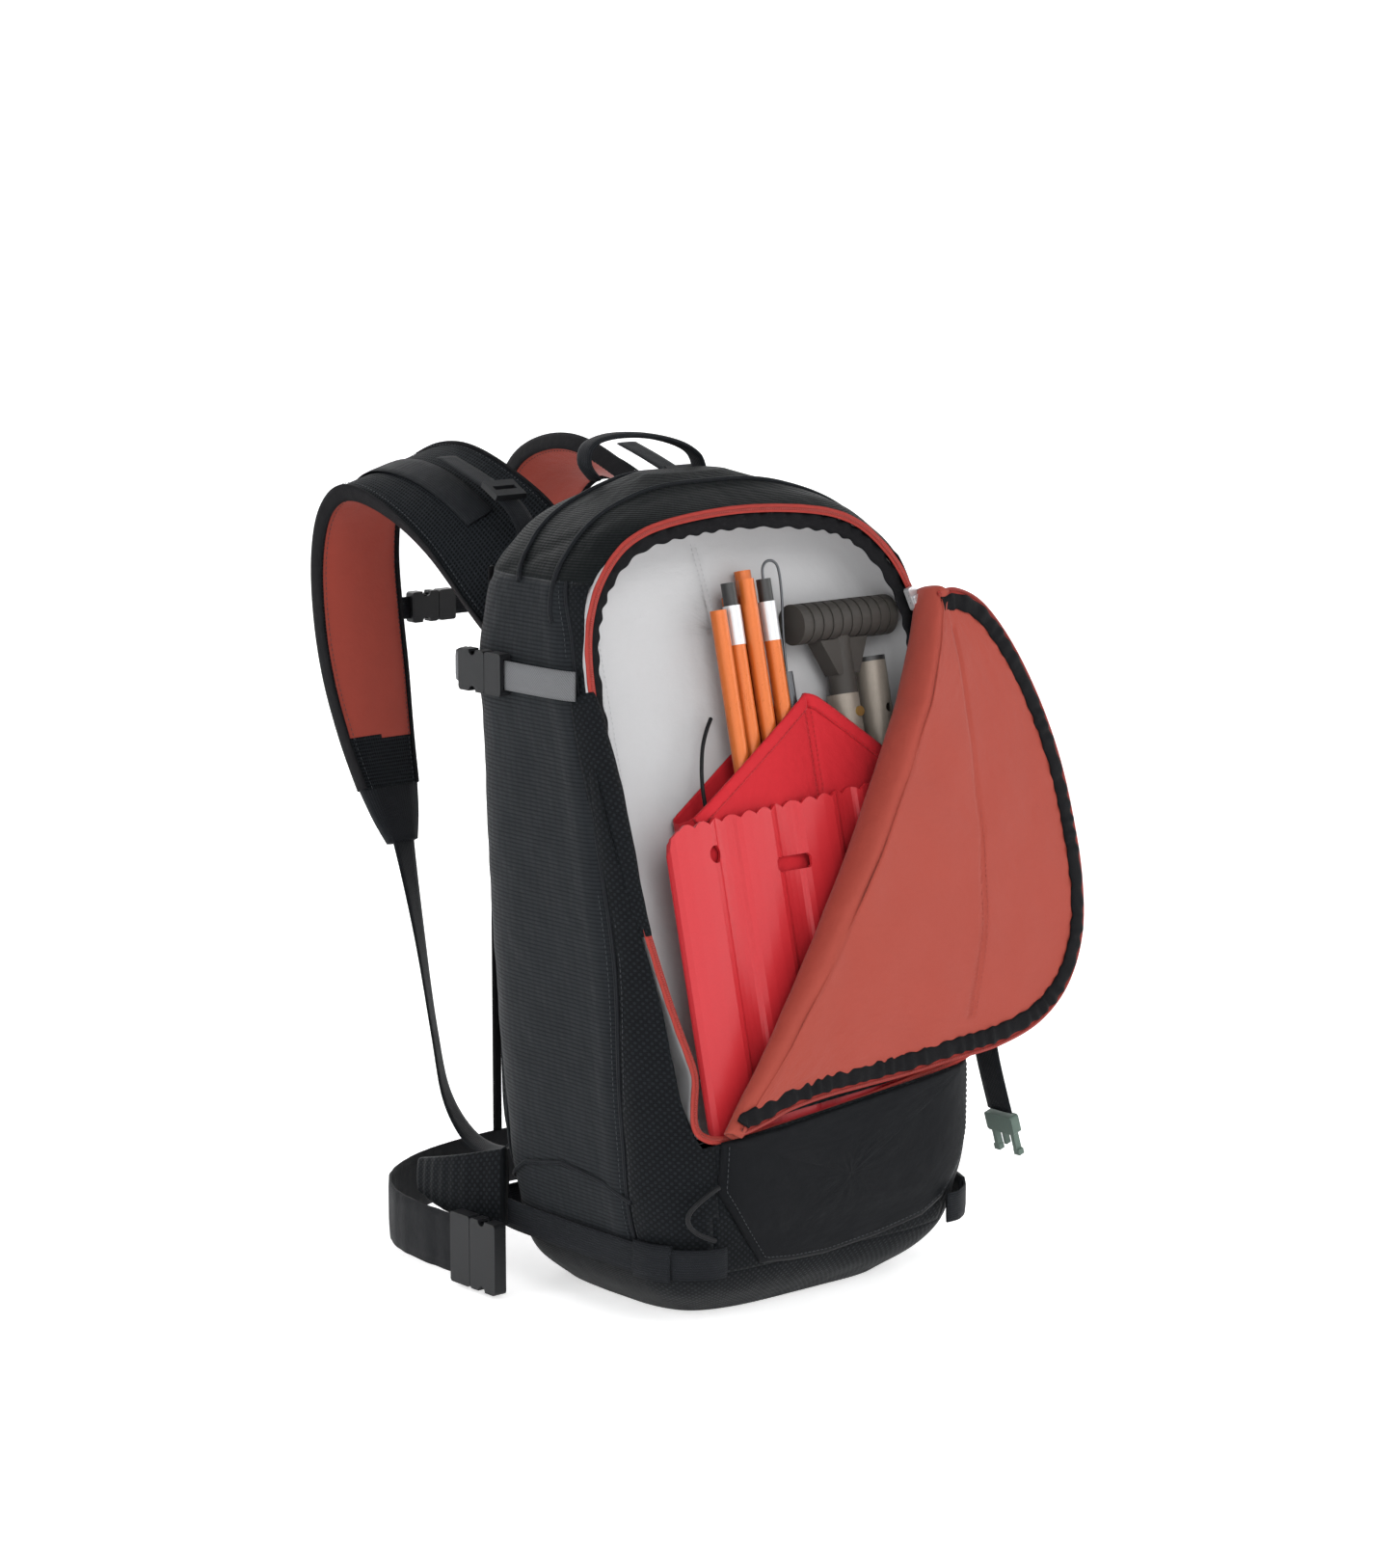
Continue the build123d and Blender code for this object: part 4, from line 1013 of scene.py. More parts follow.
# ---------------------------------------------------------------------------
# Divided sleeve
# ---------------------------------------------------------------------------
@dataclass
class ToolSleeve:
    """The red divided sleeve that holds the blade's handle and the probe."""

    left: float = -66.0
    seam_x: float = 42.0
    right: float = 122.0
    low: float = 151.0
    back: float = -35.2
    side_round: float = 7.0
    top: list[tuple[float, float]] = field(default_factory=lambda: [
        (-66, 308), (-62, 311), (36, 372), (42, 376), (48, 373), (114, 323), (122, 317)])

    def top_z(self, x: float) -> float:
        """Height of the sleeve's upper edge at x."""
        return float(np.interp(x, [p[0] for p in self.top], [p[1] for p in self.top]))

    def front_h(self, x: float, v: float) -> float:
        """Depth of the front sheet at x, v from 0 at the bottom to 1 at the hem."""
        share = (x - self.left) / (self.seam_x - self.left)
        if share >= 1:
            share = (x - self.seam_x) / (self.right - self.seam_x)
        edge = -12.6 + 2.4 * math.sin(math.pi * min(max(share, 0), 1)) ** 0.6
        edge -= 1.5 * math.exp(-((x - self.seam_x) / 2.4) ** 2)
        return edge + 0.35 * wobble((x, 0, v * 200), 22, 6.0)

    def build(self) -> None:
        """Makes the sleeve, its hem and its stitches."""
        xs = np.linspace(self.left, self.right, 120)
        loop: list[tuple[float, bool]] = [(float(x), True) for x in xs] + [(float(x), False) for x in xs[::-1]]
        side_mid = -24
        rows = []
        for v in np.linspace(0, 1, 60):
            row = []
            for x, in_front in loop:
                edge = min(x - self.left, self.right - x)
                h = self.front_h(x, v) if in_front else self.back
                if edge < self.side_round:
                    h = side_mid + (h - side_mid) * math.sqrt(max(1 - (1 - edge / self.side_round) ** 2, 0))
                row.append(on_rim(x, self.low + (self.top_z(x) - self.low) * v, h))
            rows.append(row)
        obj = Cloth(np.array(rows), loop=True).shape("tool_sleeve_cloth", [SLEEVE], away=OUTWARD, thick=0.7)
        face_out(obj.data)
        settle(obj, "pack", "sleeve_fabric", "tool_sleeve")
        hem = np.array([on_rim(x, self.top_z(x) - 4.4, self.front_h(x, 1.0) + 0.7) for x in np.linspace(-62, 118, 150)])
        band = strip(hem, UPHILL, 8.4, 1.3, crown=0.3, lift=lambda i, s: 0.25 * wobble((i, s, 0), 3, 2.0))
        settle(band.shape("tool_sleeve_hem", [SLEEVE]), "pack", "sleeve_fabric")
        paths = [[(x, self.top_z(x) - 8.2, self.front_h(x, 1) + 1.5) for x in np.linspace(-60, 116, 150)]]
        for x in (self.seam_x - 2.2, self.seam_x + 2.2):
            paths.append([(x, z, self.front_h(x, 0.8) + 0.6) for z in np.linspace(160, 366, 90)])
        lines = [(np.array([on_rim(*p) for p in path]), OUTWARD, False) for path in paths]
        settle(Row("sleeve_stitches", THREAD_RED, 3.0, (0.45, 0.55, 2.1)).lay(lines), "pack", "sleeve_fabric")


# ---------------------------------------------------------------------------
# Flap
# ---------------------------------------------------------------------------
@dataclass
class FoldedFlap:
    """The front panel, unzipped and folded back with its coral lining out."""

    start: tuple[float, float, float] = (-93, -115.143, 121.058)
    axis: tuple[float, float, float] = (0.576955, 0.15485, 0.801963)
    aside: tuple[float, float, float] = (0.81529, -0.05, -0.57689)
    edge: list[tuple[float, float]] = field(default_factory=lambda: [
        (10, 2), (24, 16), (42, 32), (62, 55), (84, 84), (108, 116), (134, 148), (160, 180), (190, 206), (222, 218),
        (256, 215), (288, 198), (318, 173), (346, 144), (370, 110), (389, 72), (398, 38), (394, 14), (384, 2)])
    crease: list[tuple[float, float]] = field(default_factory=lambda: [
        (372, 20), (330, 52), (270, 96), (215, 128), (160, 146)])
    length: float = 394.0
    reach: float = 18.0

    def bow(self, q: float) -> float:
        """Share of the fold's bow at a place along it."""
        return float(np.interp(q / self.length, [0, 0.09, 0.18, 0.38, 0.53, 0.68, 0.8, 0.91, 1.0],
                               [0, 0.26, 0.54, 0.88, 1.0, 0.96, 0.84, 0.5, 0.06]))

    def at(self, q: float, p: float, z: float) -> Array:
        """Point from its place along the fold, away from it and behind the lining."""
        a, d = np.array(self.axis), np.array(self.aside)
        return np.array(self.start) + a * q + d * p + np.cross(a, d) * z

    def beside(self, line: Array, z: float) -> Array:
        """Points along the flap's edge, kept clear of the fold."""
        return np.array([self.at(q, max(p, 1.0), z) for q, p in line])

    def swell(self, q: float, p: float, s: float) -> float:
        """How far the cloth stands out at a place; below 0 is towards the viewer."""
        w = -2.6 * math.sin(math.pi * min(s, 1)) * math.sin(math.pi * min(max(q / self.length, 0), 1)) ** 0.5
        w += 1.5 * wobble((q * 0.5 + p * 0.9, p * 0.4 - q * 0.7, 0), 34, 3.0) * min(1, 3 * (1 - s) + 0.2)
        w -= 12.0 * self.bow(q) * max(0.0, 1 - s) ** 1.6
        w += 0.9 * math.sin((p * 0.9 + q * 0.35) / 9.0) * math.exp(-((q - 150 + p * 0.5) / 50) ** 2) * (1 - s)
        return w + 1.4 * math.exp(-(self.seam_gap(q, p) / 1.8) ** 2)

    def seam_gap(self, q: float, p: float) -> float:
        """Distance from the lining's stitched fold."""
        gaps = []
        for (a, b), (c, d) in zip(self.crease, self.crease[1:]):
            k = max(0.0, min(1.0, ((q - a) * (c - a) + (p - b) * (d - b)) / ((c - a) ** 2 + (d - b) ** 2)))
            gaps.append(math.hypot(q - a - k * (c - a), p - b - k * (d - b)))
        return min(gaps)

    def sheet_rows(self, depth: float) -> Array:
        """Grid of the flap at a depth behind the lining's face."""
        rim = even(through(self.edge, 10), 190)
        rows = []
        for s in np.linspace(0, 1, 80):
            row = []
            for k, (q, p) in enumerate(rim):
                q0 = 10 + 374 * k / (len(rim) - 1)
                root = 1.5 + min(19.0 * self.bow(q0), 0.6 * p)
                qq, pp = q0 + (q - q0) * s, root + (p - root) * s
                row.append(self.at(qq, pp, depth + self.swell(qq, pp, s)))
            rows.append(row)
        return np.array(rows)

    def build(self) -> None:
        """Makes the lining, the outer cloth, the binding, the zip edge and the fold."""
        face = np.cross(self.axis, self.aside)
        lining = Cloth(self.sheet_rows(-1.4)).shape("flap_coral_lining", [CORAL], away=-face, thick=0.9)
        settle(lining, "front_flap", "coral_lining", "flap_lining")
        outer = Cloth(self.sheet_rows(1.2)).shape("flap_black_outer", [SIDE_DOTS], away=face, thick=0.9)
        settle(outer, "front_flap", "front_fabric", "flap_outer")
        rim = even(through(self.edge, 10), 620)
        t = tangents(rim)
        inward = np.stack([t[:, 1], -t[:, 0]], axis=1)
        if np.sum(inward * (np.array([200, 80]) - rim)) < 0:
            inward = -inward
        a, d = np.array(self.axis), np.array(self.aside)
        line = self.beside(rim + inward * 4.8, -2.6)
        across = inward[:, :1] * a + inward[:, 1:] * d

        def ruffle(i: int, s: float) -> float:
            """Height of the gathers."""
            return 0.55 * math.sin(i * 0.5 + 2.5 * math.sin(i * 0.09)) + 0.9 * wobble((i, 0, s), 6.0, 7.0)

        wide = np.array([10.4 + 0.8 * math.sin(i * 0.47 + 2.5 * math.sin(i * 0.06)) + 1.4 * wobble((i, 0, 0), 7.0, 1.0)
                         for i in range(len(line))])
        band = strip(line, across, wide, 1.6, crown=0.6, lift=ruffle).shape("flap_gathered_binding", [BINDING])
        settle(band, "front_flap", "binding", "flap_binding")
        tape = strip(self.beside(rim - inward * 1.2, 0.2), across, 6.4, 1.4).shape("flap_zip_tape", [CORAL_TAPE])
        settle(tape, "front_flap", "coral_zip")
        coil = Row("flap_zip_coil", CORAL_TEETH, 1.5, (1.4, 2.4, 1.1)).lay(
            [(self.beside(rim - inward * 2.8, -0.9), -face, False)])
        settle(coil, "front_flap", "coral_zip")
        lines = []
        for off in (-2.0, 2.0):
            pts = even(through([(q, p + off) for q, p in self.crease], 8), 110)
            lines.append((np.array([self.at(q, p, -1.9 + self.swell(q, p, 0.5)) for q, p in pts]), -face, False))
        settle(Row("flap_stitches", THREAD_CORAL, 3.2, (0.4, 0.5, 2.2)).lay(lines), "front_flap", "coral_lining")
        self.fold()

    def fold(self) -> None:
        """The rolled fold between the fixed corner and the flap, and the cloth below it."""
        left = -np.array(self.aside)
        left = unit(left - OUTWARD * (left @ OUTWARD))
        rows, feet = [], []
        for q in np.linspace(6, 392, 150):
            bowed = self.reach * self.bow(q)
            c = self.at(q, bowed, self.swell(q, bowed, 0.02))
            foot = c - OUTWARD * (self.height(c) - 3.4)
            feet.append((foot[0] + 1.5, foot[2] - 3.4 * OUTWARD[2]))
            bulge = 4.0 + 3.5 * math.sin(math.pi * q / self.length) + 0.6 * wobble((q, 0, 0), 20, 2.0)
            mid, half = (c + foot) / 2, (c - foot) / 2
            row = [foot - left * 12, foot - left * 5]
            for ang in np.linspace(-0.5 * math.pi, 0.5 * math.pi, 22):
                row.append(mid + half * math.sin(ang) + left * bulge * math.cos(ang))
            row.append(self.at(q, bowed + 4.0, self.swell(q, 4, 0.03) - 1.7))
            rows.append(row)
        obj = Cloth(np.array(rows)).shape("flap_fold_roll", [CORAL], away=(-0.6, -0.6, 0.3), thick=1.0)
        mid = self.at(190, 0, 0)
        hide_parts("flap_fold_gusset")
        tuple((mid - OUTWARD * (self.height(mid) - 3)) * MM)
        tuple(mid * MM)
        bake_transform(obj)
        outline = feet + [(131, 412), (131, 392), (131, 350), (128, 290), (121, 230), (115, 180), (110, 150),
                          (101, 138), (40, 132), (-30, 128)]
        ring = even(np.array(outline, float), 220, True)
        c = np.array([92.0, 215.0])
        skin = Cloth(np.array([lifted(c + (ring - c) * s, 1.4 + 1.2 * (1 - s ** 3)) for s in np.linspace(1, 0.02, 20)]),
                     loop=True, hub=True)
        settle(skin.shape("flap_base_cloth", [SIDE_DOTS], away=OUTWARD, thick=1.0), "pack", "front_fabric",
               "flap_base_panel")

    def height(self, p: Array) -> float:
        """How far a point is out of the opening plane."""
        return float((p - on_rim(0, RIM_Z)) @ OUTWARD)


# ---------------------------------------------------------------------------
# Back door, harness and belt
# ---------------------------------------------------------------------------
@dataclass
class Pad:
    """A padded slab on the back, with sewn channels."""

    name: str
    half_x: float
    low: float
    high: float
    near: float
    far: float
    corner: float

    def build(self, finish: Finish, height: Callable[[float, float], float]) -> bpy.types.Object:
        """Makes the slab.

        Args:
            finish: Its cloth.
            height: Extra depth at a place.

        Returns:
            The object.
        """
        ang = np.linspace(0, 2 * math.pi, 240, endpoint=False)
        cz, hz = (self.low + self.high) / 2, (self.high - self.low) / 2
        e = 2 / min(0.9, self.corner / min(self.half_x, hz)) + 1.0
        r = (np.abs(np.cos(ang)) ** e + np.abs(np.sin(ang)) ** e) ** (-1 / e)
        rim = np.stack([self.half_x * r * np.cos(ang), hz * r * np.sin(ang)], axis=1)
        rows = [[(x * s, self.near, cz + z * s) for x, z in rim] for s in (0.05, 0.5, 0.94, 0.985)]
        for k in np.linspace(0.1, 0.9, 6):
            y = self.near + (self.far - self.near) * (0.5 - 0.5 * math.cos(math.pi * k)) * 0.8
            s = 0.985 + 0.015 * math.sin(math.pi * k)
            rows.append([(x * s, y, cz + z * s) for x, z in rim])
        for s in np.linspace(0.975, 0.015, 54):
            top = self.near + (self.far - self.near) * (0.8 + 0.2 * min(1, (1 - s) * 9) ** 0.5)
            rows.append([(x * s, top + height(x * s, cz + z * s) * min(1, (1 - s) * 12), cz + z * s) for x, z in rim])
        return Cloth(np.array(rows), loop=True, caps=True).shape(self.name, [finish])


@dataclass
class ShoulderStrap:
    """A padded shoulder strap; side is -1 for the left."""

    side: int
    sides: int = 36
    middle: int = 70
    lined: tuple[int, int] = (18, 137)
    webbed: tuple[int, int] = (24, 128)
    inner: list[tuple[float, float, float]] = field(default_factory=lambda: [
        (-38, 101.3, 462), (-40, 129, 487), (-42, 188, 510), (-42, 230, 513), (-42, 268, 499), (-42, 289, 471),
        (-42, 294, 440), (-42, 290, 400), (-44, 281, 360), (-50, 268, 320), (-55, 256, 287)])
    outer: list[tuple[float, float, float]] = field(default_factory=lambda: [
        (-104, 101.3, 402), (-108, 122, 420), (-110, 168, 457), (-110, 215, 479), (-110, 255, 486), (-109, 281, 471),
        (-108, 293, 440), (-108, 292, 400), (-107, 284, 360), (-104, 270, 320), (-99, 257, 287)])

    def edges(self, count: int) -> tuple[Array, Array]:
        """The two edges of the pad, sampled."""
        flip = np.array([-self.side, 1, 1], float)
        return tuple(even(through(e, 12), count) * flip for e in (self.inner, self.outer))

    def build(self) -> None:
        """Makes the pad, its edge binding and its end patch."""
        label = "left" if self.side < 0 else "right"
        a, b = self.edges(150)
        mid = (a + b) / 2
        t = tangents(mid)
        n = unit(np.cross(t, b - a))
        # the outer face looks away from the bag at the strap's middle
        if n[self.middle][1] < 0:
            n = -n
        rows = []
        for i in range(len(mid)):
            row = []
            half = (b[i] - a[i]) / 2
            for k in range(self.sides):
                ang = 2 * math.pi * k / self.sides
                ca, sa = math.cos(ang), math.sin(ang)
                r = (abs(ca) ** 5 + abs(sa) ** 2.6) ** (-1 / 3.4)
                thick = 5.6 + (0.5 * wobble((i, k, 0), 12, 2.0))
                row.append(mid[i] + half * min(abs(ca * r), 1.0) * math.copysign(1, ca) * 0.985 + n[i] * sa * r * thick)
            rows.append(row)
        obj = Cloth(np.array(rows), loop=True, caps=True).shape(f"shoulder_pad_{label}", [MESH_FOAM, CORAL])
        for f in obj.data.polygons:
            c = np.array(f.center) * 1000
            i = int(np.argmin(np.sum((mid - c) ** 2, axis=1)))
            side = float((c - mid[i]) @ n[i])
            wide = float(abs((c - mid[i]) @ unit(b[i] - a[i])) / (np.linalg.norm(b[i] - a[i]) / 2))
            if side < -1.5 and wide < 0.86 and self.lined[0] < i < self.lined[1]:
                f.material_index = 1
        settle(obj, "back_door", "mesh_foam", f"shoulder_strap_{label}")
        for nm, line in (("inner", a), ("outer", b)):
            inward = unit(mid - line)
            band = strip(line + inward * 1.2, n, 11.6, 1.6, crown=0.4)
            settle(band.shape(f"shoulder_edge_{nm}_{label}", [BINDING]), "back_door", "binding")
        lines = []
        for line in (a, b):
            inward = unit(mid - line)
            for lift in (5.7, -5.7):
                lines.append((line + inward * 5.2 + n * lift, n[self.middle] * math.copysign(1, lift), False))
        stitches = Row(f"shoulder_stitches_{label}", THREAD_BLACK, 3.4, (0.5, 0.6, 2.3))
        settle(stitches.lay(lines), "back_door", "mesh_foam")
        # flat webbing that runs down the outer face
        part = slice(*self.webbed)
        web = strip(mid[part] + n[part] * 6.9, unit(b - a)[part], 20, 1.3)
        settle(web.shape(f"shoulder_face_webbing_{label}", [WEB_BLACK]), "back_door", "webbing_black")
        flip = np.array([-self.side, 1, 1], float)
        near = through([a[-1] * flip, (-60, 248, 268), (-66, 241, 252)], 10) * flip
        far = through([b[-1] * flip, (-94, 249, 268), (-88, 242, 252)], 10) * flip
        tip = strip((near + far) / 2, unit(far - near), np.linalg.norm(far - near, axis=1), 9.0, crown=0.6)
        settle(tip.shape(f"shoulder_end_{label}", [WEB_BLACK]), "back_door", "mesh_foam", "strap_tips")


@dataclass
class Webbing:
    """A flat woven strap."""

    name: str
    path: list[tuple[float, float, float]]
    width: float
    thick: float
    node: str = ""
    body: str = "pack"
    across: tuple[float, float, float] = (0, 0, 1)
    finish: Finish = WEB_BLACK
    slot: str = "webbing_black"
    crown: float = 0.0
    ruffle: float = 0.0
    twist: float = 0.0

    def build(self) -> None:
        """Makes the strap along its path."""
        line = through(self.path, 10)
        length = float(np.sum(np.linalg.norm(np.diff(line, axis=0), axis=1)))
        line = even(line, max(12, int(length / 3)))

        def wave(i: int, s: float) -> float:
            """Small unevenness of the cloth."""
            return self.ruffle * wobble((i * 3, 0, s), 9, 4.0)

        turn = self.twist * np.sin(np.linspace(0, math.pi, len(line))) ** 0.6
        a = np.asarray(self.across, float)
        side = np.stack([a[0] * np.cos(turn) - a[1] * np.sin(turn), a[0] * np.sin(turn) + a[1] * np.cos(turn),
                         np.full(len(line), a[2])], axis=1)
        skin = strip(line, side, self.width, self.thick, crown=self.crown, lift=wave if self.ruffle else None)
        settle(skin.shape(self.name, [self.finish]), self.body, self.slot, *([self.node] if self.node else []))


def mirrored(points: Sequence[Sequence[float]]) -> list[tuple[float, float, float]]:
    """The points on the other side of the bag."""
    return [(-p[0], p[1], p[2]) for p in points]


@dataclass
class Harness:
    """Back door, pads, straps, webbing and belt."""

    def door(self) -> None:
        """Back door panel, back pad and yoke."""
        door = Pad("back_door_cover", 109.2, 53.8, 469.2, 86.2, 91.3, 22).build(SIDE_RIBS, lambda x, z: 0.0)
        settle(door, "back_door", "side_fabric", "back_door_panel")

        def ribs(x: float, z: float) -> float:
            """Channels of the back pad."""
            centre = -4.6 * math.exp(-(abs(x) / 13) ** 6)
            cross = sum(-2.4 * math.exp(-((z - q) / 4.0) ** 2) for q in (118, 172, 226, 280, 334))
            return centre + cross * (1 if abs(x) > 13 else 0.2)

        pad = Pad("back_pad_foam", 99.5, 62.5, 387.5, 91.6, 110.6, 26).build(MESH_FOAM, ribs)
        settle(pad, "back_door", "mesh_foam", "back_pad")
        yoke = Pad("harness_yoke_pad", 107.5, 396.5, 466.5, 91.6, 100.6, 16).build(
            MESH_FOAM, lambda x, z: -1.2 * math.exp(-((z - 431) / 3) ** 2))
        settle(yoke, "back_door", "mesh_foam", "harness_yoke")

    def webbings(self) -> None:
        """Every flat strap of the harness."""
        both = (("left", list), ("right", mirrored))
        lower = [(-77, 243.5, 263), (-77, 239.6, 250.5), (-77, 224, 193), (-77, 208, 128), (-77, 195, 88),
                 (-77, 170, 65), (-77, 140, 61), (-77, 112.4, 74)]
        lift = [(-75, 102.4, 463), (-75, 109, 477), (-75, 127, 491), (-75, 160, 503), (-75, 191, 512)]
        for tag, f in both:
            Webbing(f"shoulder_lower_webbing_{tag}", f(lower), 20, 1.5, "shoulder_webbing", "back_door", (1, 0, 0),
                    twist=0.75 if tag == "left" else -0.75).build()
            Webbing(f"load_lifter_{tag}", f(lift), 16, 1.5, "load_lifters", "back_door", (1, 0, 0)).build()
        for tag, xs in (("left", (-45, -34, -23)), ("right", (11.8, 24, 45))):
            Webbing(f"sternum_strap_{tag}", [(x, 303.2, 398) for x in xs], 15, 1.4, "sternum_webbing",
                    "sternum_strap").build()
        front = [(-147.3, -34, 396), (-149.6, -28, 396), (-150.6, -20, 396), (-151.4, -8, 396), (-151.6, 8, 396),
                 (-151.6, 20, 396), (-151.6, 30.2, 396)]
        rear = [(-151.6, 72.1, 396), (-151.3, 76, 396), (-147.8, 84, 396), (-140.6, 90.4, 396), (-132.5, 94, 396)]
        for tag, f in both:
            for name, path in (("front", front), ("rear", rear)):
                Webbing(f"compression_{name}_{tag}", f(path), 18, 1.6, "compression_webbing", finish=WEB_GREY,
                        slot="webbing_grey").build()
        ring = [(-154.2, 80), (-154.2, 98), (-153.8, 122), (-147, 158), (-124, 193), (-84, 218), (-40, 229), (0, 232)]
        ring = ring + [(-x, y) for x, y in ring[-2:1:-1]] + [(154.2, 92), (154.2, 66)]
        Webbing("hip_belt_strap", [(x, y, 25) for x, y in ring], 38, 2.2, "hip_belt_webbing", "hip_belt",
                finish=BELT, ruffle=0.5).build()
        base = [(-98, 88), (-118, 84), (-127.5, 62), (-129.3, 20), (-129.3, -40), (-127.5, -75), (-120, -96),
                (-104, -108.5), (-92, -109.6)]
        keeper = [(-128.9, -66), (-127.9, -79), (-121.8, -93)]
        for tag, f in both:
            Webbing(f"base_strap_{tag}", f([(x, y, 45.5) for x, y in base]), 19, 1.8, "base_webbing").build()
            Webbing(f"base_strap_keeper_{tag}", f([(x, y, 45.5) for x, y in keeper]), 23, 4.4).build()

    def wings(self) -> None:
        """Padded wings over the hips, with gathered lower ends."""
        for tag, s in (("left", 1), ("right", -1)):
            path = [(-130.5, 62, 0), (-135.5, 74, 0), (-141, 90, 0), (-143.4, 112, 0), (-140.6, 137, 0)]
            line = even(through([(s * x, y, z) for x, y, z in path], 10), 60)
            rows = []
            for i, c in enumerate(line):
                k = i / (len(line) - 1)
                low, high = 37 + 8 * max(0, (k - 0.35)) / 0.65, 88 - 20 * k
                row = []
                for j in range(40):
                    ang = 2 * math.pi * j / 40
                    ca, sa = math.cos(ang), math.sin(ang)
                    r = (abs(ca) ** 3 + abs(sa) ** 5) ** (-1 / 4)
                    z = (low + high) / 2 + (high - low) / 2 * min(1, abs(sa * r)) * math.copysign(1, sa)
                    gather = 0.9 * math.sin(i * 0.85 + 0.05 * z) * (0.3 + 0.7 * k)
                    row.append((c[0] + ca * r * (3.6 + gather * 0.5), c[1], z))
                rows.append(row)
            obj = Cloth(np.array(rows), loop=True, caps=True).shape(f"hip_wing_{tag}", [SIDE_DOTS])
            settle(obj, "pack", "side_fabric", "hip_wings")

    def haul_loop(self) -> None:
        """Carrying loop at the top."""
        arch = [(-50, 506), (-58, 516), (-55, 527), (-38, 532), (-10, 531), (16, 525), (31, 517), (36, 507)]
        Webbing("haul_loop_webbing", [(x, 68.5, z) for x, z in arch], 13, 3.0, "haul_loop", "haul_handle",
                (0, 1, 0), crown=0.4).build()

    def back_zip(self) -> None:
        """Coil zip down the left of the back."""
        line = np.array([(-114.25, 90.4, z) for z in np.linspace(91, 454, 120)])
        settle(strip(line, (1, 0, 0), 6.4, 1.4).shape("back_zip_tape", [BINDING]), "pack", "side_fabric", "back_zip")
        out = np.array([0.0, 1.0, 0.0])
        settle(Row("back_zip_coil", BLACK_PLASTIC, 1.5, (1.0, 2.8, 1.1)).lay([(line + out * 0.9, out, False)]),
               "pack", "side_fabric")

    def hanging_strap(self) -> None:
        """Loose ice-axe strap on the right."""
        Webbing("hanging_strap_webbing", [(148.5, -77, 184), (151, -77, 160), (158, -77, 128), (170, -77, 90)],
                22, 1.5, "hanging_strap", "loose_strap", (0, 1, 0)).build()

    def build(self) -> None:
        """Makes everything on the back and the sides."""
        self.door()
        for side in (-1, 1):
            ShoulderStrap(side).build()
        self.webbings()
        self.wings()
        self.haul_loop()
        self.back_zip()
        self.hanging_strap()


# ---------------------------------------------------------------------------
# Cords
# ---------------------------------------------------------------------------
@dataclass
class FreeCord:
    """A short free cord that goes back into the bag."""

    name: str
    node: str
    body: str
    points: list[tuple[float, float, float]]
    diameter: float
    length: float
    finish: Finish
    slot: str
    stiffness: str = "limp"

    def build(self) -> None:
        """Makes the cord on its route."""
        curve = bpy.data.curves.new(self.name, "CURVE")
        curve.dimensions = "3D"
        line = curve.splines.new("NURBS")
        line.points.add(len(self.points) - 1)
        for p, q in zip(line.points, self.points):
            p.co = (q[0] * MM, q[1] * MM, q[2] * MM, 1.0)
        line.order_u = 3
        line.use_endpoint_u = True
        line.resolution_u = 10
        curve.bevel_depth = self.diameter / 2 * MM
        curve.bevel_resolution = 4
        curve.use_fill_caps = True
        curve.materials.append(self.finish.material())
        obj = linked(self.name, curve)
        settle(obj, self.body, self.slot, self.node)


CORDS = [
    FreeCord("side_bungee_loop", "bungee_loop", "pack", [
        (-99, -111, 94), (-113, -109.5, 88), (-122, -105.5, 77), (-115, -108.5, 66), (-102, -111, 61)],
        3.0, 54.0, CORD, "cord_black"),
    FreeCord("sleeve_pull_cord", "sleeve_cord", "pack", [
        (-24, -13.82, 361.18), (-36, -21.1, 352.35), (-45, -29.35, 335.3), (-48, -35.16, 315.53), (-45, -39.03, 295.3)],
        2.6, 78.0, CORD, "cord_black"),
    FreeCord("probe_steel_cable", "probe_cable", "probe", [
        (26.5, -4.89, 444.02), (26.5, -3.41, 450.12), (30.9, -2.22, 454.6), (37.1, -2.03, 454.55),
        (41.5, -2.83, 449.98), (41.2, -6.6, 429.3), (38.0, -10.95, 407.06), (36.6, -16.22, 385.26)],
        1.8, 89.0, CABLE, "steel_cable", "medium"),
]


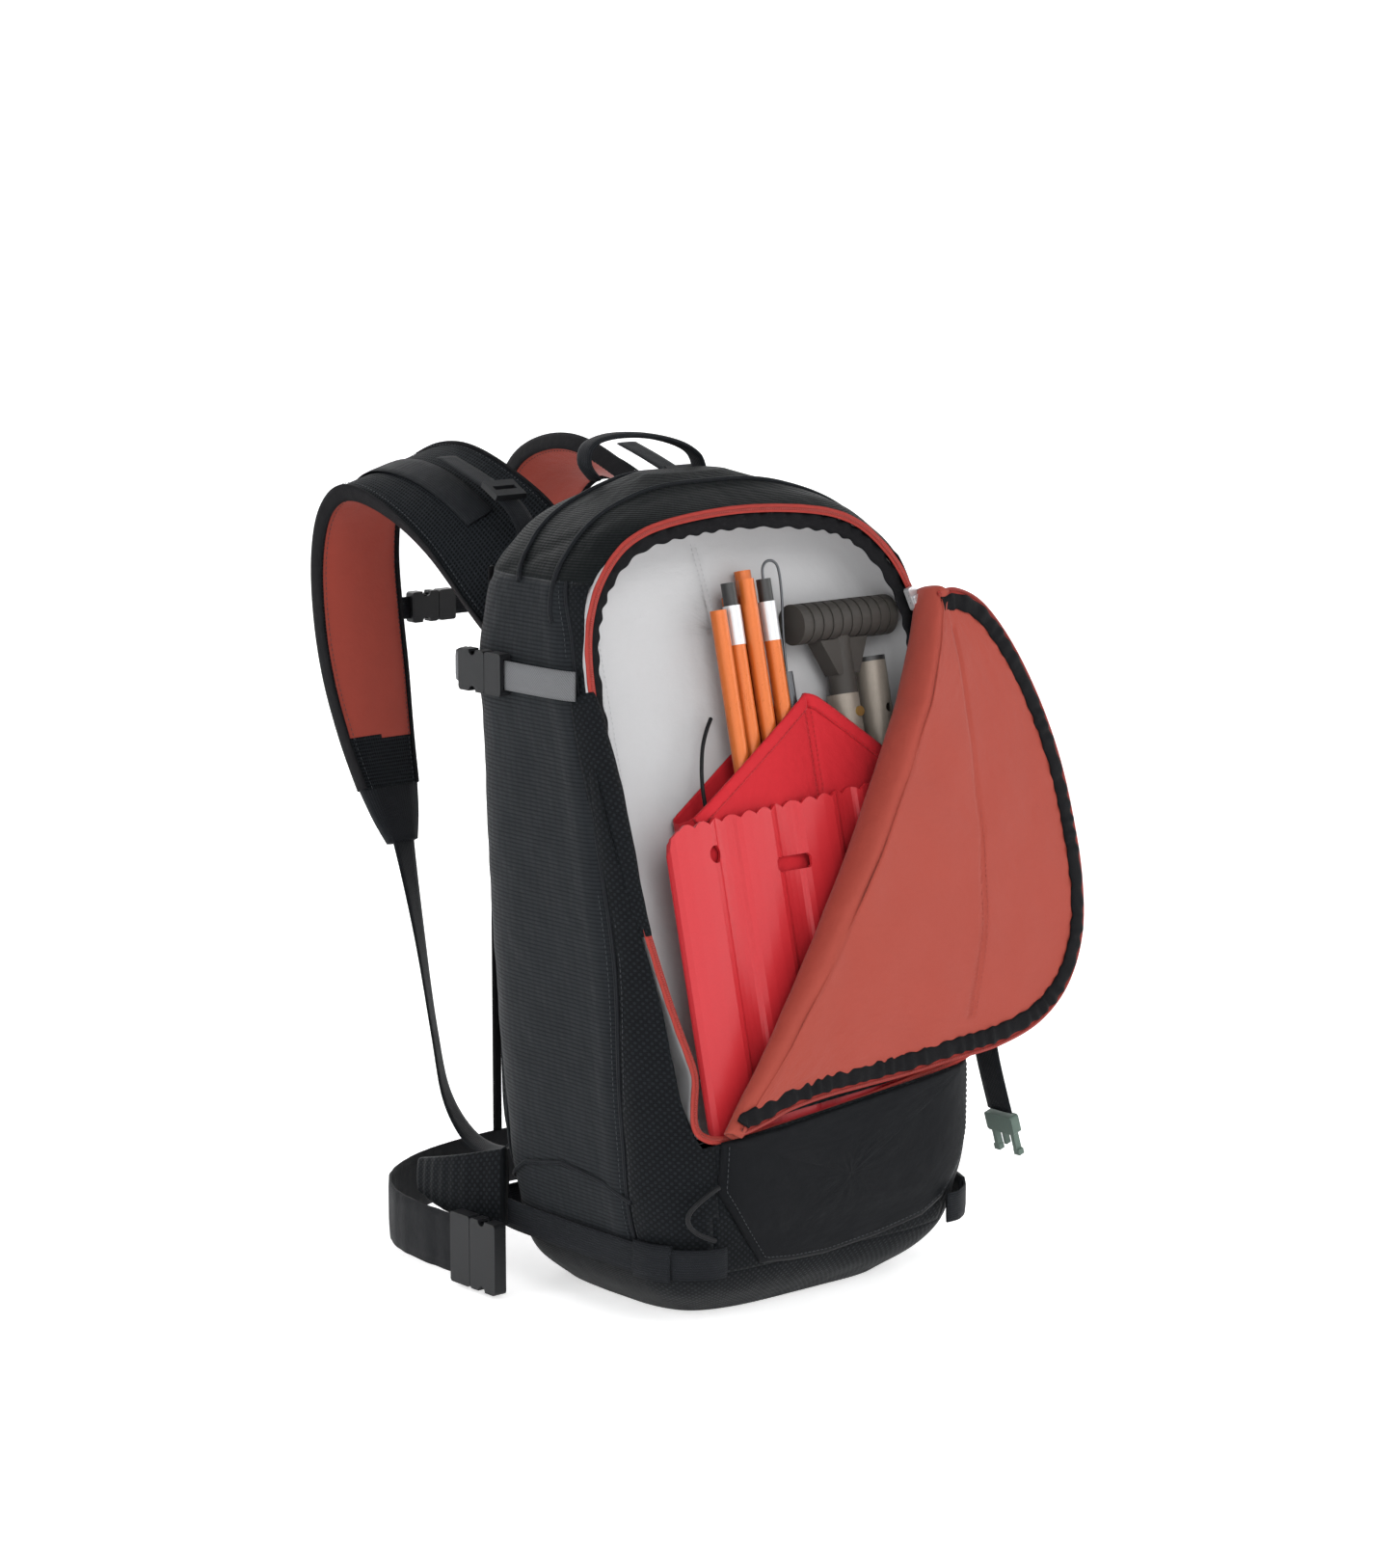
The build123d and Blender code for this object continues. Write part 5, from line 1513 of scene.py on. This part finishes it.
# ---------------------------------------------------------------------------
# Studio
# ---------------------------------------------------------------------------
@dataclass
class Studio:
    """Camera, soft lights and the pale floor."""

    eye: tuple[float, float, float] = (-1.66884, -1.96024, 0.77842)
    look: tuple[float, float, float] = (-0.024, 0.0, 0.318)
    lens: float = 95.2

    def camera(self) -> None:
        """Sets the scene's camera."""
        cam = bpy.data.cameras.new("view")
        cam.lens, cam.sensor_width, cam.clip_end = self.lens, 36.0, 50.0
        bpy.context.scene.camera = self.aimed(linked("view", cam), self.eye, self.look)

    def aimed(self, obj: bpy.types.Object, place: Sequence[float], at: Sequence[float]) -> bpy.types.Object:
        """The object, put at a place and turned to look at another."""
        obj.location = place
        obj.rotation_euler = (Vector(at) - Vector(place)).to_track_quat("-Z", "Y").to_euler()
        return obj

    def lamp(self, name: str, place: Sequence[float], size: float, power: float) -> None:
        """A soft square light aimed at the bag."""
        lamp = bpy.data.lights.new(name, "AREA")
        lamp.shape, lamp.size, lamp.energy = "SQUARE", size, power
        self.aimed(linked(name, lamp), place, (0, 0, BAG_CENTRE))

    def lights(self) -> None:
        """Key, fill and rim lights, and a pale surround."""
        self.lamp("key", (-0.9, -2.4, 2.2), 1.5, 30)
        self.lamp("fill", (2.2, -1.4, 1.2), 1.8, 8)
        self.lamp("left", (-2.6, 0.4, 1.5), 1.4, 14)
        self.lamp("rim", (0.4, 2.2, 2.0), 1.3, 22)
        world = bpy.data.worlds.new("surround")
        world.use_nodes = True
        sky = world.node_tree.nodes["Background"]
        sky.inputs["Color"].default_value, sky.inputs["Strength"].default_value = (0.95, 0.96, 1.0, 1.0), 0.3
        bpy.context.scene.world = world
        bpy.context.scene.view_settings.view_transform = "Standard"

    def floor(self) -> None:
        """A plain pale floor, and a round pale wall about it."""
        r, low, count = 14.0, -0.0006, 64
        square = [(-r, -r, low), (r, -r, low), (r, r, low), (-r, r, low)]
        ring = [(9 * math.cos(a), 9 * math.sin(a)) for a in np.linspace(0, 2 * math.pi, count, endpoint=False)]
        tube = [(x, y, z) for z in (low, 7.0) for x, y in ring]
        sides = [(i, (i + 1) % count, count + (i + 1) % count, count + i) for i in range(count)]
        for name, points, faces, rough, glow in (("floor", square, [(0, 1, 2, 3)], 0.9, 0.55),
                                                 ("wall", tube, sides, 0.5, 0.62)):
            mesh = bpy.data.meshes.new(name)
            mesh.from_pydata(points, [], faces)
            s = Shader("pale_" + name)
            s.constants({"Base Color": (0.86, 0.86, 0.86, 1.0), "Roughness": rough,
                         "Emission Color": (1.0, 1.0, 1.0, 1.0), "Emission Strength": glow})
            mesh.materials.append(s.material)
            linked(name, mesh)


def hard_parts() -> None:
    """Finishes of the parts whose shape comes straight from the frame."""
    for finish, nodes in ((BLADE_RED, ("shovel_blade",)), (GRIP, ("grip", "grip_stem")),
                          (TUBE_BRONZE, ("shovel_shaft", "extension_tube")), (BRASS, ("shaft_button",)),
                          (ORANGE, ("probe_segments",)), (SILVER, ("probe_ferrules", "front_slider", "front_pull")),
                          (BLACK_PLASTIC, ("probe_tips", "tube_plug", "back_zip_slider", "back_zip_pull")),
                          (CABLE, ("cable_lock",)),
                          (BUCKLE, ("ladder_locks", "sternum_rails", "sternum_socket", "sternum_plug", "sternum_clips",
                                    "compression_sockets", "compression_plug_left", "compression_plug_right",
                                    "hip_socket", "hip_plug")),
                          (BUCKLE_GREEN, ("hanging_plug",))):
        recolour(finish, *nodes)


def main() -> None:
    """Builds the backpack, group by group."""
    logging.basicConfig(level=logging.INFO, format="%(name)s: %(message)s")
    studio, shell, opening = Studio(), BagShell(), Opening()
    studio.camera()
    for cord in CORDS:
        cord.build()
    for step in (studio.lights, studio.floor, shell.build, shell.front_panel, shell.storm_edge, shell.ridges,
                 shell.seams, opening.lining, opening.zip, opening.binding, ToolSleeve().build,
                 FoldedFlap().build, Harness().build, hard_parts):
        step()
    bpy.context.view_layer.update()


if __name__ == "__main__":
    main()
